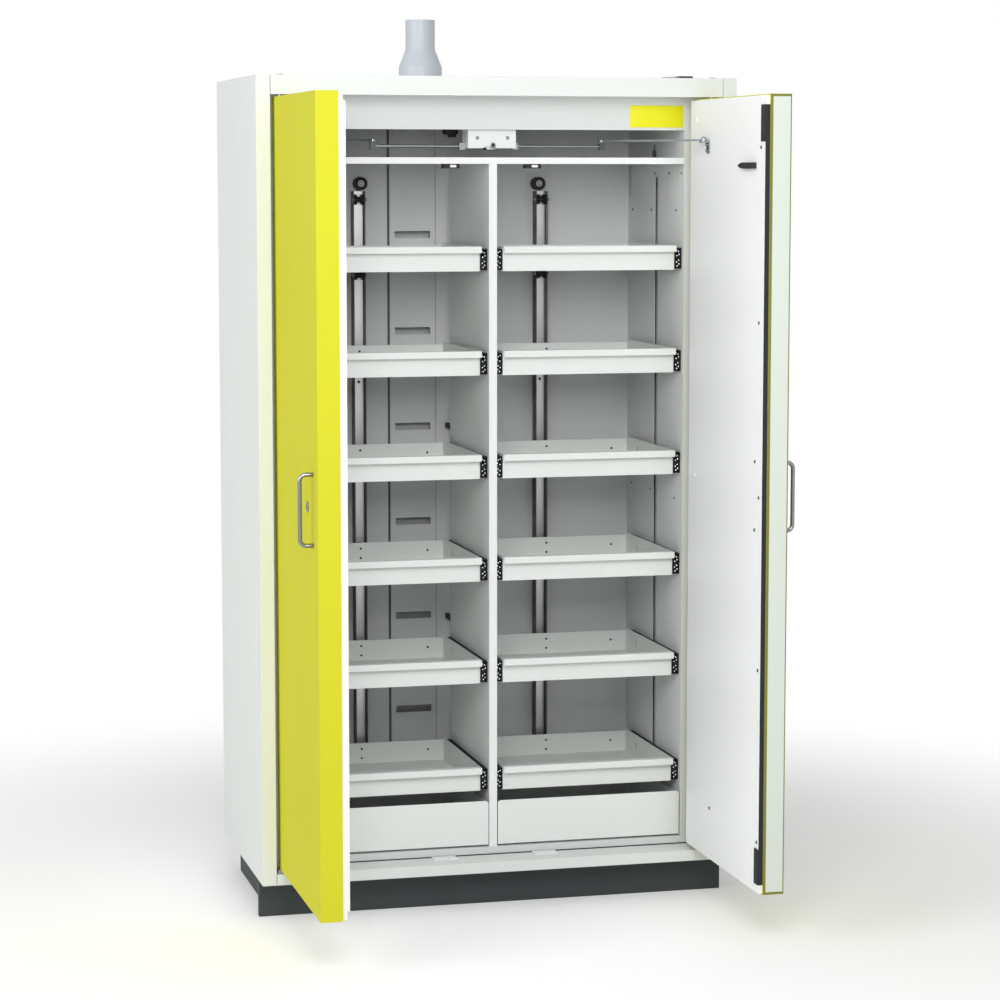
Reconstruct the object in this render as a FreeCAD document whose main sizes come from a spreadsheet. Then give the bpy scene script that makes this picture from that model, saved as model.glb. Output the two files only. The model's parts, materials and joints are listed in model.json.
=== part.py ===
"""Two-door fire-resistant safety cabinet with twelve pull-out trays and two bottom sumps.

Millimetres, +Z up. The origin lies on the floor, in the middle of the casing's width and depth, and the
doors face -Y. The rest pose has both leaves open square to the front and every tray pushed home.
"""

import FreeCAD, Part
import math
import os
import re
import Sketcher
from FreeCAD import Vector

# Driving dimensions
SIZES = {
    # casing
    "case_width": 1193.0,
    "case_depth": 606.0,
    "case_height": 1953.0,
    "sheet": 1.5,
    "post_width": 34.0,
    "post_seam": 1.2,
    "reveal_depth": 80.0,
    "header_height": 46.0,
    "sill_height": 27.0,
    "rear_flange": 20.0,
    # plinth and feet
    "plinth_height": 94.0,
    "plinth_setback": 75.0,
    "plinth_end_gap": 2.5,
    "plinth_side_inset": 35.0,
    "plinth_rear_inset": 40.0,
    "plinth_board": 16.0,
    "foot_radius": 25.0,
    "foot_inset": 60.0,
    # chamber
    "side_wall": 107.5,
    "rear_wall": 46.0,
    "floor_rise": 20.0,
    "slot_drop": 79.7,
    "roof_cavity": 87.0,
    "side_board": 70.0,
    "slot_height": 82.8,
    "shelf_thick": 15.5,
    "shelf_return": 20.0,
    "partition_thick": 20.0,
    "partition_gap": 59.0,
    # openings of the side linings
    "lining_slot_start": 211.0,
    "lining_slot_width": 31.0,
    "lining_slot_rise": 162.0,
    "lining_slot_drop": 32.5,
    "lining_window_back": 6.0,
    "lining_window_width": 153.0,
    "lining_window_height": 84.5,
    # exhaust duct and spigot
    "duct_centre": -95.9,
    "duct_width": 121.2,
    "duct_seam": 6.5,
    "duct_gap": 1.5,
    "duct_bridge": 10.0,
    "vent_width": 94.0,
    "vent_height": 18.0,
    "vent_rise": 269.0,
    "vent_pitch": 249.6,
    "spigot_from_back": 146.0,
    "spigot_tube": 37.5,
    "spigot_collar": 55.0,
    "spigot_wall": 3.0,
    "spigot_collar_height": 37.0,
    "spigot_cone_height": 45.0,
    "spigot_tube_height": 74.0,
    # tray bays
    "tray_rise": 139.5,
    "tray_first_step": 272.0,
    "tray_pitch": 256.0,
    "tray_rear_gap": 60.0,
    "tray_height": 61.0,
    "tray_back_drop": 6.0,
    "tray_sheet": 1.5,
    "tray_setback": 20.0,
    "lip_drop": 16.0,
    "hang_slot_width": 8.0,
    "hang_slot_height": 22.0,
    # telescopic slides
    "slide_width": 18.5,
    "slide_height": 52.0,
    "slide_setback": 17.0,
    "slide_lift": 3.0,
    "slide_gauge": 1.8,
    "slide_mouth": 1.3,
    "slide_play": 0.4,
    "slide_web": 6.0,
    # bottom sumps
    "sump_rise": 5.6,
    "sump_height": 110.9,
    "sump_rear_gap": 15.0,
    "sump_inner_gap": 2.0,
    "sump_outer_gap": 3.0,
    "sump_shoulder": 4.0,
    "sump_ear": 5.0,
    "glide_play": 0.3,
    "glide_width": 20.0,
    # door leaves
    "leaf_clear_low": 11.2,
    "leaf_clear_top": 5.7,
    "hinge_from_post": 24.9,
    "middle_gap": 1.5,
    "skin_depth": 51.5,
    "skin_rim": 12.0,
    "liner_depth": 10.5,
    "liner_inset": 3.0,
    "pivot_from_front": 14.4,
    "pivot_from_edge": 19.4,
    "hinge_pin_radius": 6.0,
    "hinge_pin_reach": 28.0,
    "running_fit": 0.05,
    "hinge_plate_side": 40.0,
    "hinge_play": 0.3,
    # handles and lock
    "handle_level": 1065.0,
    "handle_from_edge": 53.5,
    "handle_centres": 160.0,
    "handle_radius": 5.0,
    "handle_standoff": 31.5,
    "handle_bend": 14.0,
    "lock_from_edge": 125.0,
    "lock_radius": 8.5,
    "lock_length": 30.0,
    "lock_ring": 12.5,
    "lock_ring_thick": 3.0,
    # edge trims of the leaves
    "astragal_width": 30.0,
    "astragal_thick": 6.0,
    "astragal_end_gap": 22.0,
    "edge_strip_width": 42.0,
    "edge_line": 2.5,
    "edge_strip_end_gap": 6.0,
    "seal_end_gap": 24.0,
    "seal_thick": 2.5,
    "seal_pad_height": 84.0,
    "seal_pad_wrap": 25.0,
    "latch_from_edge": 63.0,
    "latch_length": 98.0,
    "latch_height": 14.0,
    "latch_tip": 5.0,
    "latch_thick": 12.0,
    # door closer
    "guide_behind": 50.0,
    "guide_rise": 27.4,
    "guide_radius": 4.0,
    "guide_end": 8.0,
    "closer_box_width": 120.0,
    "closer_box_depth": 64.0,
    "closer_box_drop": 5.0,
    "closer_box_behind": 10.0,
    "closer_bearing": 14.0,
    "carriage_width": 14.0,
    "carriage_from_pivot": 248.6,
    "link_rise": 11.0,
    "link_thick": 5.0,
    "link_eye": 8.0,
    "link_pin": 3.0,
    "link_play": 0.5,
    "bracket_along": 124.4,
    "bracket_standoff": 13.0,
    "bracket_plate": 3.0,
    "bracket_width": 18.0,
    "bracket_drop": 26.0,
    # self-closing gear on the rear wall
    "rail_centre": 243.0,
    "rail_width": 36.0,
    "rail_depth": 50.0,
    "rail_gauge": 2.0,
    "rail_rise": 232.0,
    "rail_drop": 68.5,
    "weight_bar_width": 20.0,
    "weight_bar_thick": 8.0,
    "pulley_radius": 13.0,
    "pulley_groove": 7.5,
    "pulley_groove_width": 12.0,
    "pulley_width": 26.0,
    "pulley_drop": 21.0,
    "pulley_pitch": 193.0,
    "pulley_ahead": 30.0,
    "axle_radius": 4.0,
    "wheel_centre": 237.0,
    "wheel_rise": 20.0,
    "wheel_radius": 17.0,
    "wheel_width": 28.0,
    "wheel_gap": 2.0,
    # small hardware of the frame
    "striker_centre": 129.0,
    "striker_width": 60.0,
    "striker_depth": 28.0,
    "striker_thick": 3.0,
    "striker_behind": 48.0,
    "catch_centre": 103.0,
    "catch_width": 40.0,
    "catch_depth": 26.0,
    "catch_height": 11.0,
    "catch_behind": 5.0,
    "clip_width": 10.0,
    "clip_height": 13.0,
    "clip_upper": 1160.0,
    "clip_lower": 655.0,
}

TRAYS_PER_COLUMN = 6
VENT_COUNT = 6

DOC = FreeCAD.newDocument("SafetyCabinet")
SHEET = DOC.addObject("Spreadsheet::Sheet", "Sizes")
for row, (alias, size) in enumerate(SIZES.items(), start=1):
    SHEET.set(f"A{row}", alias)
    SHEET.set(f"B{row}", str(size))
    SHEET.setAlias(f"B{row}", alias)
DOC.recompute()

# Planes, levels and lengths that follow from the driving dimensions
FORMULAS = {
    "front_plane": "-case_depth / 2",
    "back_plane": "case_depth / 2",
    "reveal_plane": "front_plane + reveal_depth",
    "rear_plane": "back_plane - rear_wall",
    "interior_depth": "rear_plane - reveal_plane",
    "half_width": "case_width / 2",
    "post_edge": "half_width - post_width",
    "half_opening": "half_width - side_wall",
    "opening_width": "2 * half_opening",
    "half_cavity": "half_width - sheet - side_board",
    "sill_top": "plinth_height + sill_height",
    "roof_level": "plinth_height + case_height",
    "header_low": "roof_level - header_height",
    "floor_level": "sill_top + floor_rise",
    "slot_top": "header_low - slot_drop",
    "shelf_level": "slot_top - slot_height",
    "ceiling_level": "roof_level - roof_cavity",
    "lining_slot_low": "floor_level + lining_slot_rise",
    "lining_slot_top": "shelf_level - lining_slot_drop",
    "partition_depth": "interior_depth - partition_gap",
    "duct_left": "duct_centre - duct_width / 2",
    "duct_right": "duct_centre + duct_width / 2",
    "spigot_y": "back_plane - spigot_from_back",
    "tray_base": "floor_level + tray_rise",
    "tray_width": "half_opening - partition_thick / 2 - 2 * slide_width",
    "tray_front": "reveal_plane + tray_setback",
    "tray_depth": "interior_depth - tray_setback - tray_rear_gap",
    "slide_front": "reveal_plane + slide_setback",
    "sump_low": "floor_level + sump_rise",
    "sump_depth": "interior_depth - sump_rear_gap",
    "pivot_x": "post_edge - hinge_from_post",
    "pivot_y": "front_plane + pivot_from_front",
    "leaf_width": "pivot_x + pivot_from_edge - middle_gap",
    "leaf_low": "sill_top + leaf_clear_low",
    "leaf_top": "header_low - leaf_clear_top",
    "leaf_height": "leaf_top - leaf_low",
    "leaf_outer": "-pivot_x - pivot_from_front",
    "leaf_inner": "leaf_outer + skin_depth + liner_depth",
    "leaf_free": "pivot_y + pivot_from_edge - leaf_width",
    "lock_y": "leaf_free + lock_from_edge",
    "handle_y": "leaf_free + handle_from_edge",
    "guide_y": "reveal_plane + guide_behind",
    "guide_level": "shelf_level + shelf_thick + guide_rise",
    "guide_reach": "carriage_home + guide_end",
    "carriage_home": "pivot_x - carriage_from_pivot",
    "closer_front": "reveal_plane + closer_box_behind",
    "closer_box_low": "guide_level - closer_box_drop",
    "link_level": "guide_level + link_rise",
    "bracket_x": "leaf_inner + bracket_standoff",
    "bracket_y": "pivot_y - bracket_along",
    "rail_low": "floor_level + rail_rise",
    "rail_top": "shelf_level - rail_drop",
    "pulley_level": "rail_top - pulley_drop",
    "pulley_lower_level": "pulley_level - pulley_pitch",
    "wheel_level": "rail_top + wheel_rise",
}


def cells(text):
    """Write out a formula's words as references to the sheet's cells."""

    def reference(match):
        word = match[0]
        if word in FORMULAS:
            return f"({cells(FORMULAS[word])})"
        return f"Sizes.{word}" if word in SIZES else word

    return re.sub(r"[a-z_]+", reference, text)


def value(text):
    """Work out a formula's number with the sheet's present values."""
    return float(SHEET.evalExpression(cells(text)))


def bind(item, name, text):
    """Bind one property of an object to a formula."""
    item.setExpression(name, cells(text))


def place(item, x="0", y="0", z="0"):
    """Bind an object's position to three formulas."""
    bind(item, "Placement.Base.x", x)
    bind(item, "Placement.Base.y", y)
    bind(item, "Placement.Base.z", z)
    return item


class Piece:
    """A PartDesign body that is sketched, padded and cut in its own frame."""

    def __init__(self, name, x="0", y="0", z="0"):
        self.body = DOC.addObject("PartDesign::Body", name)
        self.name = name
        place(self.body, x, y, z)

    def origin_feature(self, role):
        """Find one of the body's own origin planes or axes."""
        return next(item for item in self.body.Origin.OriginFeatures if item.Role == role)

    def sketch(self, plane, height):
        """Lay an empty sketch on an origin plane, moved along +X, +Y or +Z by height."""
        drawing = self.body.newObject("Sketcher::SketchObject", f"{self.name}_sketch")
        drawing.AttachmentSupport = [(self.origin_feature(f"{plane}_Plane"), "")]
        drawing.MapMode = "FlatFace"
        sign = "-" if plane == "XZ" else ""
        bind(drawing, "AttachmentOffset.Base.z", f"{sign}({height})")
        return drawing

    def polygon(self, plane, corners, height="0"):
        """Draw a closed outline whose corners are pairs of formulas."""
        drawing = self.sketch(plane, height)
        points = [Vector(value(x), value(y), 0) for x, y in corners]
        count = len(points)
        for index, start in enumerate(points):
            drawing.addGeometry(Part.LineSegment(start, points[(index + 1) % count]))
        for index in range(count):
            drawing.addConstraint(Sketcher.Constraint("Coincident", index, 2, (index + 1) % count, 1))
        for index, (x, y) in enumerate(corners):
            across = Sketcher.Constraint("DistanceX", -1, 1, index, 1, points[index].x)
            bind(drawing, f"Constraints[{drawing.addConstraint(across)}]", x)
            along = Sketcher.Constraint("DistanceY", -1, 1, index, 1, points[index].y)
            bind(drawing, f"Constraints[{drawing.addConstraint(along)}]", y)
        return drawing

    def rectangle(self, plane, x, y, width, depth, height="0"):
        """Draw a rectangle from its low corner."""
        right = f"({x} + {width})"
        top = f"({y} + {depth})"
        return self.polygon(plane, [(x, y), (right, y), (right, top), (x, top)], height)

    def circles(self, plane, centres, radius, height="0"):
        """Draw equal circles at pairs of formulas."""
        drawing = self.sketch(plane, height)
        for index, (x, y) in enumerate(centres):
            centre = Vector(value(x), value(y), 0)
            drawing.addGeometry(Part.Circle(centre, Vector(0, 0, 1), value(radius)))
            across = Sketcher.Constraint("DistanceX", -1, 1, index, 3, centre.x)
            bind(drawing, f"Constraints[{drawing.addConstraint(across)}]", x)
            along = Sketcher.Constraint("DistanceY", -1, 1, index, 3, centre.y)
            bind(drawing, f"Constraints[{drawing.addConstraint(along)}]", y)
            size = Sketcher.Constraint("Radius", index, value(radius))
            bind(drawing, f"Constraints[{drawing.addConstraint(size)}]", radius)
        return drawing

    def pad(self, drawing, length):
        """Extrude a sketch towards +X, +Y or +Z."""
        feature = self.body.newObject("PartDesign::Pad", f"{self.name}_pad")
        feature.Profile = drawing
        bind(feature, "Length", length)
        feature.Reversed = "XZ_Plane" in self.support_role(drawing)
        drawing.Visibility = False
        return feature

    def pocket(self, drawing, depth=None, upward=True):
        """Cut a sketch through all both ways, or by a depth towards + or - of its axis."""
        feature = self.body.newObject("PartDesign::Pocket", f"{self.name}_pocket")
        feature.Profile = drawing
        if depth is None:
            feature.Type = "ThroughAll"
            feature.Midplane = True
        else:
            bind(feature, "Length", depth)
            feature.Reversed = upward != ("XZ_Plane" in self.support_role(drawing))
        drawing.Visibility = False
        return feature

    def support_role(self, drawing):
        """Give the role of the origin plane that a sketch lies on."""
        return drawing.AttachmentSupport[0][0].Role

    def revolve(self, drawing, role):
        """Turn a sketch once round one of the body's origin axes."""
        feature = self.body.newObject("PartDesign::Revolution", f"{self.name}_turn")
        feature.Profile = drawing
        feature.ReferenceAxis = (self.origin_feature(role), [""])
        feature.Angle = 360
        return feature

    def repeat(self, feature, role, span, count):
        """Repeat a feature along an origin axis."""
        pattern = self.body.newObject("PartDesign::LinearPattern", f"{self.name}_row")
        pattern.Originals = [feature]
        pattern.Direction = (self.origin_feature(role), [""])
        bind(pattern, "Length", span)
        pattern.Occurrences = count
        self.body.Tip = pattern
        return pattern


def block(name, x, y, z, length, width, height):
    """Make a plain board from its low corner."""
    item = DOC.addObject("Part::Box", name)
    bind(item, "Length", length)
    bind(item, "Width", width)
    bind(item, "Height", height)
    return place(item, x, y, z)


def rod(name, x, y, z, radius, length, axis="z"):
    """Make a round bar from its low end along x, y or z."""
    item = DOC.addObject("Part::Cylinder", name)
    bind(item, "Radius", radius)
    bind(item, "Height", length)
    if axis == "x":
        item.Placement.Rotation = FreeCAD.Rotation(Vector(0, 1, 0), 90)
    if axis == "y":
        item.Placement.Rotation = FreeCAD.Rotation(Vector(1, 0, 0), -90)
    return place(item, x, y, z)


def cut(name, base, tool):
    """Take one object out of another."""
    item = DOC.addObject("Part::Cut", name)
    item.Base = base
    item.Tool = tool
    return item


def fuse(name, items):
    """Join touching objects into one solid."""
    item = DOC.addObject("Part::MultiFuse", name)
    item.Shapes = items
    item.Refine = True
    return item


def mirrored(name, source):
    """Make the right-hand twin of an object on the left."""
    item = DOC.addObject("Part::Mirroring", name)
    item.Source = source
    item.Base = Vector(0, 0, 0)
    item.Normal = Vector(1, 0, 0)
    return item


NODES = {}


def node(label, item):
    """Give a finished sub-part the label that names its file."""
    item.Label = label
    NODES[label] = item
    return item


def group(label, items):
    """Keep several loose solids together as one sub-part."""
    item = DOC.addObject("Part::Compound", label)
    item.Links = items
    return node(label, item)


def side_panels():
    """Bent side sheets, each with its front post and rear flange."""
    left = Piece("side_sheet", "-half_width", "front_plane", "plinth_height + sheet")
    corners = [
        ("0", "0"),
        ("post_width", "0"),
        ("post_width", "reveal_depth"),
        ("post_width - sheet", "reveal_depth"),
        ("post_width - sheet", "sheet"),
        ("sheet", "sheet"),
        ("sheet", "case_depth - sheet"),
        ("rear_flange", "case_depth - sheet"),
        ("rear_flange", "case_depth"),
        ("0", "case_depth"),
    ]
    left.pad(left.polygon("XY", corners), "case_height - 2 * sheet")
    group("side_panels", [left.body, mirrored("side_sheet_right", left.body)])


def top_panel():
    """Roof sheet with the folded header in front and the hole for the exhaust."""
    roof = Piece("top_panel", "0", "front_plane", "header_low")
    edge = [
        ("0", "0"),
        ("reveal_depth", "0"),
        ("reveal_depth", "sheet"),
        ("sheet", "sheet"),
        ("sheet", "header_height - sheet"),
        ("0", "header_height - sheet"),
    ]
    header = roof.polygon("YZ", edge, "-post_edge + post_seam")
    roof.pad(header, "2 * (post_edge - post_seam)")
    plate = roof.rectangle("XY", "-half_width", "0", "case_width", "case_depth", "header_height - sheet")
    roof.pad(plate, "sheet")
    centre = [("duct_centre", "case_depth - spigot_from_back")]
    hole = roof.circles("XY", centre, "spigot_collar - 2 * spigot_wall")
    roof.pocket(hole)
    node("top_panel", roof.body)


def base_panel():
    """Bottom sheet with the sill and its ledge in front."""
    base = Piece("base_panel", "0", "front_plane", "plinth_height")
    plate = base.rectangle("XY", "-half_width", "0", "case_width", "case_depth")
    base.pad(plate, "sheet")
    edge = [
        ("0", "sheet"),
        ("sheet", "sheet"),
        ("sheet", "sill_height - sheet"),
        ("reveal_depth", "sill_height - sheet"),
        ("reveal_depth", "sill_height"),
        ("0", "sill_height"),
    ]
    sill = base.polygon("YZ", edge, "-post_edge + post_seam")
    base.pad(sill, "2 * (post_edge - post_seam)")
    node("base_panel", base.body)


def back_panel():
    """Rear sheet between the side flanges."""
    sheet = block(
        "back_panel",
        "-half_width + sheet",
        "back_plane - 2 * sheet",
        "plinth_height + sheet",
        "case_width - 2 * sheet",
        "sheet",
        "case_height - 2 * sheet",
    )
    node("back_panel", sheet)


def wall_insulation():
    """Mineral boards between the casing and the chamber's linings, which leave the exhaust's way free."""
    start = "(reveal_plane + sheet)"
    depth = f"(back_plane - 2 * sheet - {start})"
    rear_start = "(rear_plane + sheet)"
    rear_depth = f"(back_plane - 2 * sheet - {rear_start})"
    low = "(plinth_height + sheet)"
    tall = "(case_height - 2 * sheet)"
    left = block("board_left", "-half_width + sheet", start, low, "side_board", depth, tall)
    bottom_height = f"floor_level - sheet - {low}"
    bottom = block("board_bottom", "-half_cavity", start, low, "2 * half_cavity", depth, bottom_height)
    rear_low = "(floor_level - sheet)"
    rise = f"ceiling_level - {rear_low}"
    left_width = "duct_left - duct_seam + half_cavity"
    rear_left = block("board_rear_left", "-half_cavity", rear_start, rear_low, left_width, rear_depth, rise)
    right_width = "half_cavity - duct_right"
    rear_right = block("board_rear_right", "duct_right", rear_start, rear_low, right_width, rear_depth, rise)
    chamber = "(spigot_y - spigot_collar)"
    top_height = "roof_level - sheet - ceiling_level"
    front_depth = f"{chamber} - {start}"
    top_front = block(
        "board_top_front", "-half_cavity", start, "ceiling_level", "2 * half_cavity", front_depth, top_height
    )
    chamber_depth = f"(back_plane - 2 * sheet - {chamber})"
    top_left_width = "duct_left + half_cavity"
    top_left = block(
        "board_top_left", "-half_cavity", chamber, "ceiling_level", top_left_width, chamber_depth, top_height
    )
    top_right = block(
        "board_top_right", "duct_right", chamber, "ceiling_level", right_width, chamber_depth, top_height
    )
    sides = [left, mirrored("board_right", left)]
    group("wall_insulation", sides + [bottom, rear_left, rear_right, top_front, top_left, top_right])


def inner_frame():
    """Front sheet of the chamber with the doorway and the closer's slot in one opening."""
    frame = Piece("inner_frame", "0", "reveal_plane", "0")
    wide = "case_width - 2 * sheet"
    tall = "case_height - 2 * sheet"
    plate = frame.rectangle("XZ", "-half_width + sheet", "plinth_height + sheet", wide, tall)
    frame.pad(plate, "sheet")
    doorway = frame.rectangle("XZ", "-half_opening", "floor_level", "opening_width", "slot_top - floor_level")
    frame.pocket(doorway)
    node("inner_frame", frame.body)


def interior_lining():
    """Side, rear and floor sheets of the chamber."""
    height = "(ceiling_level - sheet - floor_level)"
    side = Piece("lining_side", "-half_opening - sheet", "reveal_plane + sheet", "0")
    plate = side.rectangle("YZ", "0", "floor_level", "interior_depth - sheet", height)
    side.pad(plate, "sheet")
    slot_height = "lining_slot_top - lining_slot_low"
    slot = side.rectangle(
        "YZ", "lining_slot_start - sheet", "lining_slot_low", "lining_slot_width", slot_height
    )
    side.pocket(slot)
    window = side.rectangle(
        "YZ",
        "interior_depth - lining_window_back - lining_window_width - sheet",
        "shelf_level - lining_window_height",
        "lining_window_width",
        "lining_window_height",
    )
    side.pocket(window)
    rear = Piece("lining_rear", "0", "rear_plane", "0")
    plate = rear.rectangle("XZ", "-half_cavity", "floor_level", "2 * half_cavity", height)
    rear.pad(plate, "sheet")
    gap_height = f"{height} - duct_bridge + sheet"
    gap = rear.rectangle(
        "XZ", "duct_left - duct_seam", "floor_level - sheet", "duct_seam + duct_width + duct_gap", gap_height
    )
    rear.pocket(gap)
    floor = block(
        "lining_floor",
        "-half_cavity",
        "reveal_plane + sheet",
        "floor_level - sheet",
        "2 * half_cavity",
        "interior_depth",
        "sheet",
    )
    group("interior_lining", [side.body, mirrored("lining_side_right", side.body), rear.body, floor])


def duct_cover():
    """Folded exhaust channel on the rear wall with a row of suction slots."""
    channel = Piece("duct_cover", "duct_left", "rear_plane", "0")
    reach = "(back_plane - 2 * sheet - rear_plane)"
    corners = [
        ("0", "0"),
        ("duct_width", "0"),
        ("duct_width", reach),
        ("duct_width - sheet", reach),
        ("duct_width - sheet", "sheet"),
        ("sheet", "sheet"),
        ("sheet", reach),
        ("0", reach),
    ]
    height = "ceiling_level - sheet - duct_bridge - floor_level"
    channel.pad(channel.polygon("XY", corners, "floor_level"), height)
    vent_start = "(duct_width - vent_width) / 2"
    vent_low = "floor_level + vent_rise - vent_height / 2"
    vent = channel.rectangle("XZ", vent_start, vent_low, "vent_width", "vent_height")
    slot = channel.pocket(vent, "sheet")
    channel.repeat(slot, "Z_Axis", f"vent_pitch * {VENT_COUNT - 1}", VENT_COUNT)
    node("duct_cover", channel.body)


def ceiling_shelf():
    """Folded shelf over the tray bays, and the ceiling sheet above the closer."""
    shelf = Piece("shelf_sheet", "-half_opening", "reveal_plane", "shelf_level")
    corners = [
        ("0", "0"),
        ("shelf_return", "0"),
        ("shelf_return", "sheet"),
        ("sheet", "sheet"),
        ("sheet", "shelf_thick - sheet"),
        ("interior_depth - sheet", "shelf_thick - sheet"),
        ("interior_depth - sheet", "0"),
        ("interior_depth", "0"),
        ("interior_depth", "shelf_thick"),
        ("0", "shelf_thick"),
    ]
    shelf.pad(shelf.polygon("YZ", corners), "opening_width")
    ceiling = block(
        "ceiling_sheet",
        "-half_cavity",
        "reveal_plane + sheet",
        "ceiling_level - sheet",
        "2 * half_cavity",
        "interior_depth",
        "sheet",
    )
    group("ceiling_shelf", [shelf.body, ceiling])


def partition():
    """Folded centre wall that carries the inner slides of both columns."""
    wall = Piece("partition", "-partition_thick / 2", "reveal_plane", "floor_level")
    corners = [
        ("0", "0"),
        ("partition_thick", "0"),
        ("partition_thick", "partition_depth"),
        ("partition_thick - sheet", "partition_depth"),
        ("partition_thick - sheet", "sheet"),
        ("sheet", "sheet"),
        ("sheet", "partition_depth"),
        ("0", "partition_depth"),
    ]
    wall.pad(wall.polygon("XY", corners), "shelf_level - floor_level")
    node("partition", wall.body)


def rear_rails():
    """Channels on the rear wall with their weight bars, axles, lower pulleys and wheel pins."""
    rail = Piece("rail", "-rail_centre - rail_width / 2", "rear_plane - rail_depth", "rail_low")
    corners = [
        ("0", "0"),
        ("rail_gauge", "0"),
        ("rail_gauge", "rail_depth - rail_gauge"),
        ("rail_width - rail_gauge", "rail_depth - rail_gauge"),
        ("rail_width - rail_gauge", "0"),
        ("rail_width", "0"),
        ("rail_width", "rail_depth"),
        ("0", "rail_depth"),
    ]
    rail.pad(rail.polygon("XY", corners), "rail_top - rail_low")
    bar = block(
        "weight_bar",
        "-rail_centre - weight_bar_width / 2",
        "rear_plane - rail_gauge - weight_bar_thick",
        "rail_low",
        "weight_bar_width",
        "weight_bar_thick",
        "rail_top - rail_low",
    )
    axle_start = "-rail_centre - rail_width / 2 + rail_gauge"
    axle_length = "rail_width - 2 * rail_gauge"
    pulley_y = "rear_plane - pulley_ahead"
    upper = rod("axle_upper", axle_start, pulley_y, "pulley_level", "axle_radius", axle_length, "x")
    lower = rod("axle_lower", axle_start, pulley_y, "pulley_lower_level", "axle_radius", axle_length, "x")
    roller = pulley("lower_pulley", "pulley_lower_level", "axle_radius")
    pin_length = "wheel_gap + wheel_width + 2 * hinge_play"
    pin_y = f"rear_plane - ({pin_length})"
    pin = rod("wheel_pin", "-wheel_centre", pin_y, "wheel_level", "axle_radius", pin_length, "y")
    items = [rail.body, bar, upper, lower, roller.body, pin]
    twins = [mirrored(f"{item.Name}_right", item) for item in items]
    group("rear_rails", items + twins)


def pulley(name, level, bore):
    """A flanged rope pulley on an axle along X, at the left rail."""
    wheel = Piece(name, "-rail_centre", "rear_plane - pulley_ahead", level)
    half = "(pulley_width / 2)"
    groove = "(pulley_groove_width / 2)"
    profile = [
        (f"-{half}", bore),
        (half, bore),
        (half, "pulley_radius"),
        (groove, "pulley_radius"),
        (groove, "pulley_groove"),
        (f"-{groove}", "pulley_groove"),
        (f"-{groove}", "pulley_radius"),
        (f"-{half}", "pulley_radius"),
    ]
    wheel.revolve(wheel.polygon("XY", profile), "X_Axis")
    return wheel


def pulleys():
    """Upper rope pulleys and the deflection wheels above them."""
    left = pulley("left_pulley", "pulley_level", "axle_radius + running_fit")
    node("left_pulley", left.body)
    node("right_pulley", mirrored("right_pulley", left.body))
    wheel = Piece("left_wheel", "-wheel_centre", "rear_plane - wheel_gap - hinge_play", "wheel_level")
    profile = [
        ("axle_radius + running_fit", "0"),
        ("wheel_radius", "0"),
        ("wheel_radius", "-wheel_width"),
        ("axle_radius + running_fit", "-wheel_width"),
    ]
    wheel.revolve(wheel.polygon("XY", profile), "Y_Axis")
    node("left_wheel", wheel.body)
    node("right_wheel", mirrored("right_wheel", wheel.body))


def closer_housing():
    """Housing of the door closer with its bearings and guide bars."""
    box = block(
        "closer_box",
        "-closer_box_width / 2",
        "closer_front",
        "closer_box_low",
        "closer_box_width",
        "closer_box_depth",
        "ceiling_level - sheet - closer_box_low",
    )
    seat = "(closer_box_width / 2 + closer_bearing)"
    height = "(4 * guide_radius)"
    bearing = block(
        "closer_bearing",
        f"-{seat}",
        "guide_y - 2 * guide_radius",
        "guide_level - 2 * guide_radius",
        "closer_bearing",
        height,
        height,
    )
    bar_length = f"guide_reach - {seat}"
    bar = rod("guide_bar", "-guide_reach", "guide_y", "guide_level", "guide_radius", bar_length, "x")
    twins = [mirrored("closer_bearing_right", bearing), mirrored("guide_bar_right", bar)]
    group("closer_housing", [box, bearing, bar] + twins)


def closer_linkage():
    """Saddles that ride on the guide bars, and the links that join them to the leaves."""
    saddle = Piece("carriage_saddle", "-carriage_home - carriage_width / 2", "guide_y", "guide_level")
    half = "(carriage_width / 2)"
    reach = "(2 * guide_radius)"
    mouth = "(guide_radius + running_fit)"
    corners = [
        (f"-{half}", f"-{reach}"),
        (f"-{mouth}", f"-{reach}"),
        (f"-{mouth}", mouth),
        (mouth, mouth),
        (mouth, f"-{reach}"),
        (half, f"-{reach}"),
        (half, reach),
        (f"-{half}", reach),
    ]
    saddle.pad(saddle.polygon("YZ", corners), "carriage_width")
    pin_low = f"(guide_level + {reach})"
    pin_length = f"link_level - link_play - {pin_low}"
    pin = rod("carriage_pin", "-carriage_home", "guide_y", pin_low, "link_pin", pin_length)
    carriage = fuse("left_carriage", [saddle.body, pin])
    node("left_closer_carriage", carriage)
    node("right_closer_carriage", mirrored("right_closer_carriage", carriage))
    run_x = "(-carriage_home - bracket_x)"
    run_y = "(guide_y - bracket_y)"
    length = f"(sqrt({run_x} ^ 2 + {run_y} ^ 2))"
    far_eye = rod("link_far_eye", length, "0", "0", "link_eye", "link_thick")
    near_eye = rod("link_near_eye", "0", "0", "0", "link_eye", "link_thick")
    strap = block("link_strap", "0", "-link_thick / 2", "0", length, "link_thick", "link_thick")
    bore = rod("link_bore", "0", "0", "-link_thick", "link_pin + running_fit", "3 * link_thick")
    link = cut("left_link", fuse("link_blank", [far_eye, near_eye, strap]), bore)
    place(link, "bracket_x", "bracket_y", "link_level")
    bind(link, "Placement.Rotation.Angle", f"atan2({run_y}; {run_x})")
    node("left_closer_link", link)
    node("right_closer_link", mirrored("right_closer_link", link))


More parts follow.
